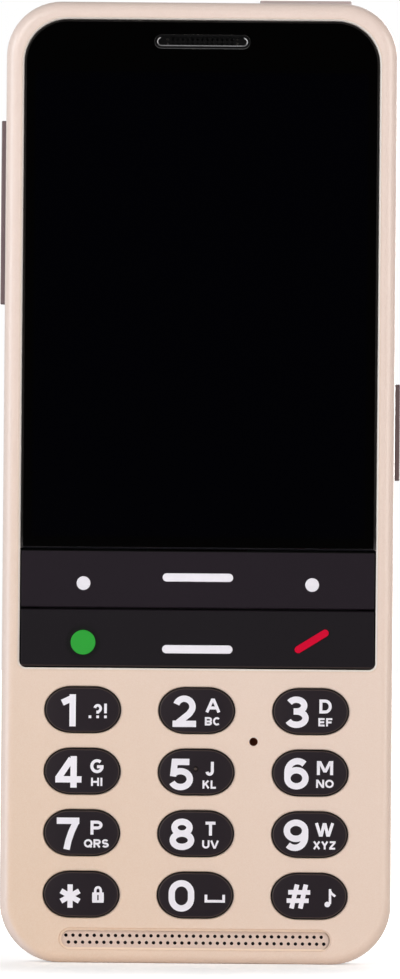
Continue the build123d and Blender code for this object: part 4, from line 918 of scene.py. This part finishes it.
def stroke_piece(points, width):
    """A flat-ended stroke of even width that follows the points, in millimetres."""
    points = short_steps(points)
    columns = len(points)
    bpy.ops.object.select_all(action="DESELECT")
    bpy.ops.mesh.primitive_grid_add(x_subdivisions=columns - 1, y_subdivisions=1, size=1)
    ribbon = bpy.context.object
    for index, vertex in enumerate(ribbon.data.vertices):
        x, z = points[index % columns]
        vertex.co = (x, float(index // columns), z)
    edit_all(ribbon, bpy.ops.mesh.remove_doubles, threshold=0.001)
    apply_modifier(ribbon, "SOLIDIFY", thickness=width, offset=0, use_even_offset=True)
    edit_all(ribbon, bpy.ops.mesh.normals_make_consistent, inside=False)
    return ribbon


def merge_strokes(strokes):
    """Unites overlapping strokes into one clean piece."""
    whole = strokes[0]
    for other in strokes[1:]:
        apply_modifier(whole, "BOOLEAN", operation="UNION", solver="EXACT", object=other)
        bpy.data.objects.remove(other, do_unlink=True)
    return whole


def lay_on_crown(piece, key, sizes):
    """Brings a flat legend, its front layer at y 0, to its key and bends it to the key's domed top."""
    middle_x, middle_z = middle(key)
    aside = {"key_2": sizes.aside_print, "key_5": -sizes.aside_print}.get(key, 0.0)
    lower = sizes.low_print if key == "key_5" else 0.0
    for vertex in piece.data.vertices:
        x = vertex.co.x * MM + aside
        z = vertex.co.z * MM - lower
        drop = sizes.crown - math.sqrt(sizes.crown ** 2 - x ** 2 - z ** 2)
        level = -sizes.height if vertex.co.y < 0.5 else sizes.root
        vertex.co = (middle_x + x, sizes.key_front + drop + level, middle_z + z)


class PHONE_OT_legends(bpy.types.Operator):
    """Makes the printed figures, letters and symbols of the twelve keys"""

    bl_idname = "phone.legends"
    bl_label = "Key legends"

    def execute(self, context):
        sizes = context.scene.phone_legends
        looks = context.scene.phone_finishes
        ink = plastic("Legend ink", looks.white, rough=0.5, grain=0.002, fine_scale=9000.0)
        for key in KEY_NAMES:
            parts = []
            for kind, text in LEGENDS[key]:
                lines = place_strokes(text, PRINTS[kind])
                parts.append(merge_strokes([stroke_piece(points, PRINTS[kind].stroke) for points in lines]))
            bpy.ops.object.select_all(action="DESELECT")
            for part in parts:
                part.select_set(True)
            context.view_layer.objects.active = parts[0]
            bpy.ops.object.join()
            legend = context.object
            legend.name = "legend_" + key
            lay_on_crown(legend, key, sizes)
            paint(legend, ink)
            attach(legend, key + "_cap")
        return {"FINISHED"}


# Speaker lip


def lip_lacquer(sizes):
    """The lip's champagne lacquer, painted paler than the shell as a highlight, with painted shade inside
    its right end.
    """
    # Both colours are the champagne made paler, a painted highlight on the lip's slope.
    finish = lacquer("Lip lacquer", srgb(244, 218, 196), srgb(248, 218, 192))
    tree = finish.tree
    in_shade = srgb(120, 90, 75)
    half = half_size("speaker_grille")[1]
    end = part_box("speaker_grille")[1][0] - half
    far = spine_distance(finish, "speaker_grille")[0]
    inside = ramp_value(tree, far, half + sizes.reach / 2, half)
    right = finish.along("X", end, end + half * 0.8, 0.0, 0.8)
    finish.tint(product(tree, inside, right), in_shade)
    return finish


class PHONE_OT_speaker_lip(bpy.types.Operator):
    """Makes the sloping lip that runs round the speaker slot"""

    bl_idname = "phone.speaker_lip"
    bl_label = "Speaker lip"

    def execute(self, context):
        sizes = context.scene.phone_lip
        middle_x, middle_z = middle("speaker_grille")
        half_width, half_height = half_size("speaker_grille")
        radius = (half_height + sizes.reach - sizes.width / 2) / MM
        straight = (half_width - half_height) / MM
        right = arc(straight, 0, radius, radius, -90, 90)
        left = arc(-straight, 0, radius, radius, 90, 270)
        lip = stroke_piece(right + left + right[:1], sizes.width / MM)
        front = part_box("front_housing")[0][1]
        for vertex in lip.data.vertices:
            x, layer, z = vertex.co
            outside = math.hypot(max(abs(x) - straight, 0), z) > radius
            level = sizes.foot if layer > 0.5 else (-sizes.proud if outside else sizes.drop)
            vertex.co = (middle_x + x * MM, front + level, middle_z + z * MM)
        lip.name = "speaker_lip"
        paint(lip, lip_lacquer(sizes))
        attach(lip, "phone_body")
        return {"FINISHED"}


# Stage


WHITE = (1.0, 1.0, 1.0)


def floor_material():
    """Pale floor that looks white to the camera and keeps the soft shadow."""
    material = bpy.data.materials.new("Pale floor")
    material.use_nodes = True
    tree = material.node_tree
    shader = tree.nodes["Principled BSDF"]
    shader.inputs["Base Color"].default_value = (0.9, 0.885, 0.88, 1)
    shader.inputs["Roughness"].default_value = 0.5
    path = tree.nodes.new("ShaderNodeLightPath")
    place = tree.nodes.new("ShaderNodeTexCoord")
    distance = tree.nodes.new("ShaderNodeVectorMath")
    distance.operation = "LENGTH"
    tree.links.new(place.outputs["Object"], distance.inputs[0])
    near_glow, mirrored_glow = 0.37, 0.25
    level = ramp_value(tree, distance.outputs["Value"], 30 * MM, 130 * MM, near_glow, 1.0)
    glow = tree.nodes.new("ShaderNodeEmission")
    mirrored = math_node(tree, "MAXIMUM", path.outputs["Is Glossy Ray"], path.outputs["Is Transmission Ray"])
    faint = product(tree, mirrored, mirrored_glow)
    seen = math_node(tree, "MAXIMUM", path.outputs["Is Camera Ray"], faint)
    tree.links.new(product(tree, seen, level), glow.inputs["Strength"])
    both = tree.nodes.new("ShaderNodeAddShader")
    tree.links.new(shader.outputs[0], both.inputs[0])
    tree.links.new(glow.outputs[0], both.inputs[1])
    tree.links.new(both.outputs[0], tree.nodes["Material Output"].inputs["Surface"])
    return material


def room_light(sizes):
    """Soft room light with a darker ceiling and a dark wall behind the camera, which sees plain white."""
    world = bpy.data.worlds.new("Studio")
    bpy.context.scene.world = world
    world.use_nodes = True
    tree = world.node_tree
    back = tree.nodes["Background"]
    path = tree.nodes.new("ShaderNodeLightPath")
    place = tree.nodes.new("ShaderNodeTexCoord")
    split = tree.nodes.new("ShaderNodeSeparateXYZ")
    tree.links.new(place.outputs["Generated"], split.inputs[0])
    dark_ceiling, dark_wall, pale_wall = 0.4, 0.01, 0.9
    ceiling = ramp_value(tree, split.outputs["Z"], 0.1, 0.9, 1.0, dark_ceiling)
    wall = product(tree, ramp_value(tree, split.outputs["Y"], -0.95, -0.2, dark_wall, pale_wall), ceiling)
    level = product(tree, ceiling, sizes.ambient)
    room = mix_colour(tree, path.outputs["Is Glossy Ray"], level, wall)
    sky = mix_colour(tree, path.outputs["Is Camera Ray"], room, WHITE)
    clear = mix_colour(tree, path.outputs["Is Transmission Ray"], sky, WHITE)
    tree.links.new(clear, back.inputs["Color"])
    back.inputs["Strength"].default_value = 1.0


def add_lamp(name, place, size, power, colour):
    """A soft lamp, size metres wide and high, that looks at the middle of the phone."""
    data = bpy.data.lights.new(name, "AREA")
    data.shape = "RECTANGLE"
    data.size, data.size_y = size
    data.energy = power
    data.color = colour
    lamp = bpy.data.objects.new(name, data)
    bpy.context.scene.collection.objects.link(lamp)
    low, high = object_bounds()
    aim = (low + high) / 2 - Vector(place)
    lamp.location = place
    lamp.rotation_euler = aim.to_track_quat("-Z", "Y").to_euler()


def add_camera(sizes):
    """The camera in front of the phone, level with its middle."""
    data = bpy.data.cameras.new("Camera")
    camera = bpy.data.objects.new("Camera", data)
    bpy.context.scene.collection.objects.link(camera)
    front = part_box("front_housing")[0][1]
    data.sensor_width = 36.0
    data.lens = data.sensor_width * sizes.distance / sizes.picture_height
    aside, back = sizes.distance * math.sin(sizes.turn), sizes.distance * math.cos(sizes.turn)
    camera.location = (sizes.middle_x + aside, front - back, sizes.middle_z)
    camera.rotation_euler = (math.pi / 2, sizes.roll, sizes.turn)
    bpy.context.scene.camera = camera


class PHONE_OT_stage(bpy.types.Operator):
    """Sets up the camera, the room light, the soft lamps and the pale floor"""

    bl_idname = "phone.stage"
    bl_label = "Stage"

    def execute(self, context):
        sizes = context.scene.phone_stage
        context.scene.view_settings.view_transform = "Standard"
        add_camera(sizes)
        room_light(sizes)
        soft_white, cool_white, warm_white = (1.0, 0.99, 0.985), (0.86, 0.95, 1.0), (1.0, 0.98, 0.95)
        add_lamp("Left lamp", (-0.45, -0.9, 0.45), (0.5, 0.5), sizes.left_power, soft_white)
        add_lamp("Left strip", (-0.87, -0.5, 0.28), (0.25, 0.5), sizes.strip_power, cool_white)
        add_lamp("Right lamp", (0.75, -0.7, 0.27), (0.5, 0.5), sizes.right_power, warm_white)
        add_lamp("Back lamp", (0.35, 0.85, 0.18), (0.6, 0.6), sizes.back_power, WHITE)
        bpy.ops.object.select_all(action="DESELECT")
        bpy.ops.mesh.primitive_plane_add(size=8.0)
        floor = context.object
        floor.name = "floor"
        edit_all(floor, bpy.ops.mesh.subdivide, number_cuts=3)
        floor.data.materials.append(floor_material())
        floor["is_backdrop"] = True
        return {"FINISHED"}


# Panel and registration


OPERATORS = (
    PHONE_OT_shell_finish,
    PHONE_OT_front_finish,
    PHONE_OT_key_finish,
    PHONE_OT_inner_finish,
    PHONE_OT_legends,
    PHONE_OT_speaker_lip,
    PHONE_OT_stage,
)


class PHONE_PT_looks(bpy.types.Panel):
    """Lists the phone's colours and sizes and the steps that dress it"""

    bl_label = "Feature phone"
    bl_idname = "PHONE_PT_looks"
    bl_space_type = "VIEW_3D"
    bl_region_type = "UI"
    bl_category = "Phone"

    def draw(self, context):
        for name, group_class in SETTINGS:
            box = self.layout.box()
            for setting in group_class.__annotations__:
                box.prop(getattr(context.scene, name), setting)
        for operator in OPERATORS:
            self.layout.operator(operator.bl_idname)


SETTINGS = (
    ("phone_finishes", PhoneFinishes),
    ("phone_legends", PhoneLegends),
    ("phone_lip", PhoneLip),
    ("phone_opening", PhoneOpening),
    ("phone_stage", PhoneStage),
)


def register():
    for name, settings in SETTINGS:
        bpy.utils.register_class(settings)
        setattr(bpy.types.Scene, name, bpy.props.PointerProperty(type=settings))
    for operator in OPERATORS:
        bpy.utils.register_class(operator)
    bpy.utils.register_class(PHONE_PT_looks)


def unregister():
    bpy.utils.unregister_class(PHONE_PT_looks)
    for operator in reversed(OPERATORS):
        bpy.utils.unregister_class(operator)
    for name, settings in reversed(SETTINGS):
        delattr(bpy.types.Scene, name)
        bpy.utils.unregister_class(settings)


def main():
    """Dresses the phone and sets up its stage."""
    register()
    bpy.ops.phone.shell_finish()
    bpy.ops.phone.front_finish()
    bpy.ops.phone.key_finish()
    bpy.ops.phone.inner_finish()
    bpy.ops.phone.legends()
    bpy.ops.phone.speaker_lip()
    bpy.ops.phone.stage()


if __name__ == "__main__":
    main()
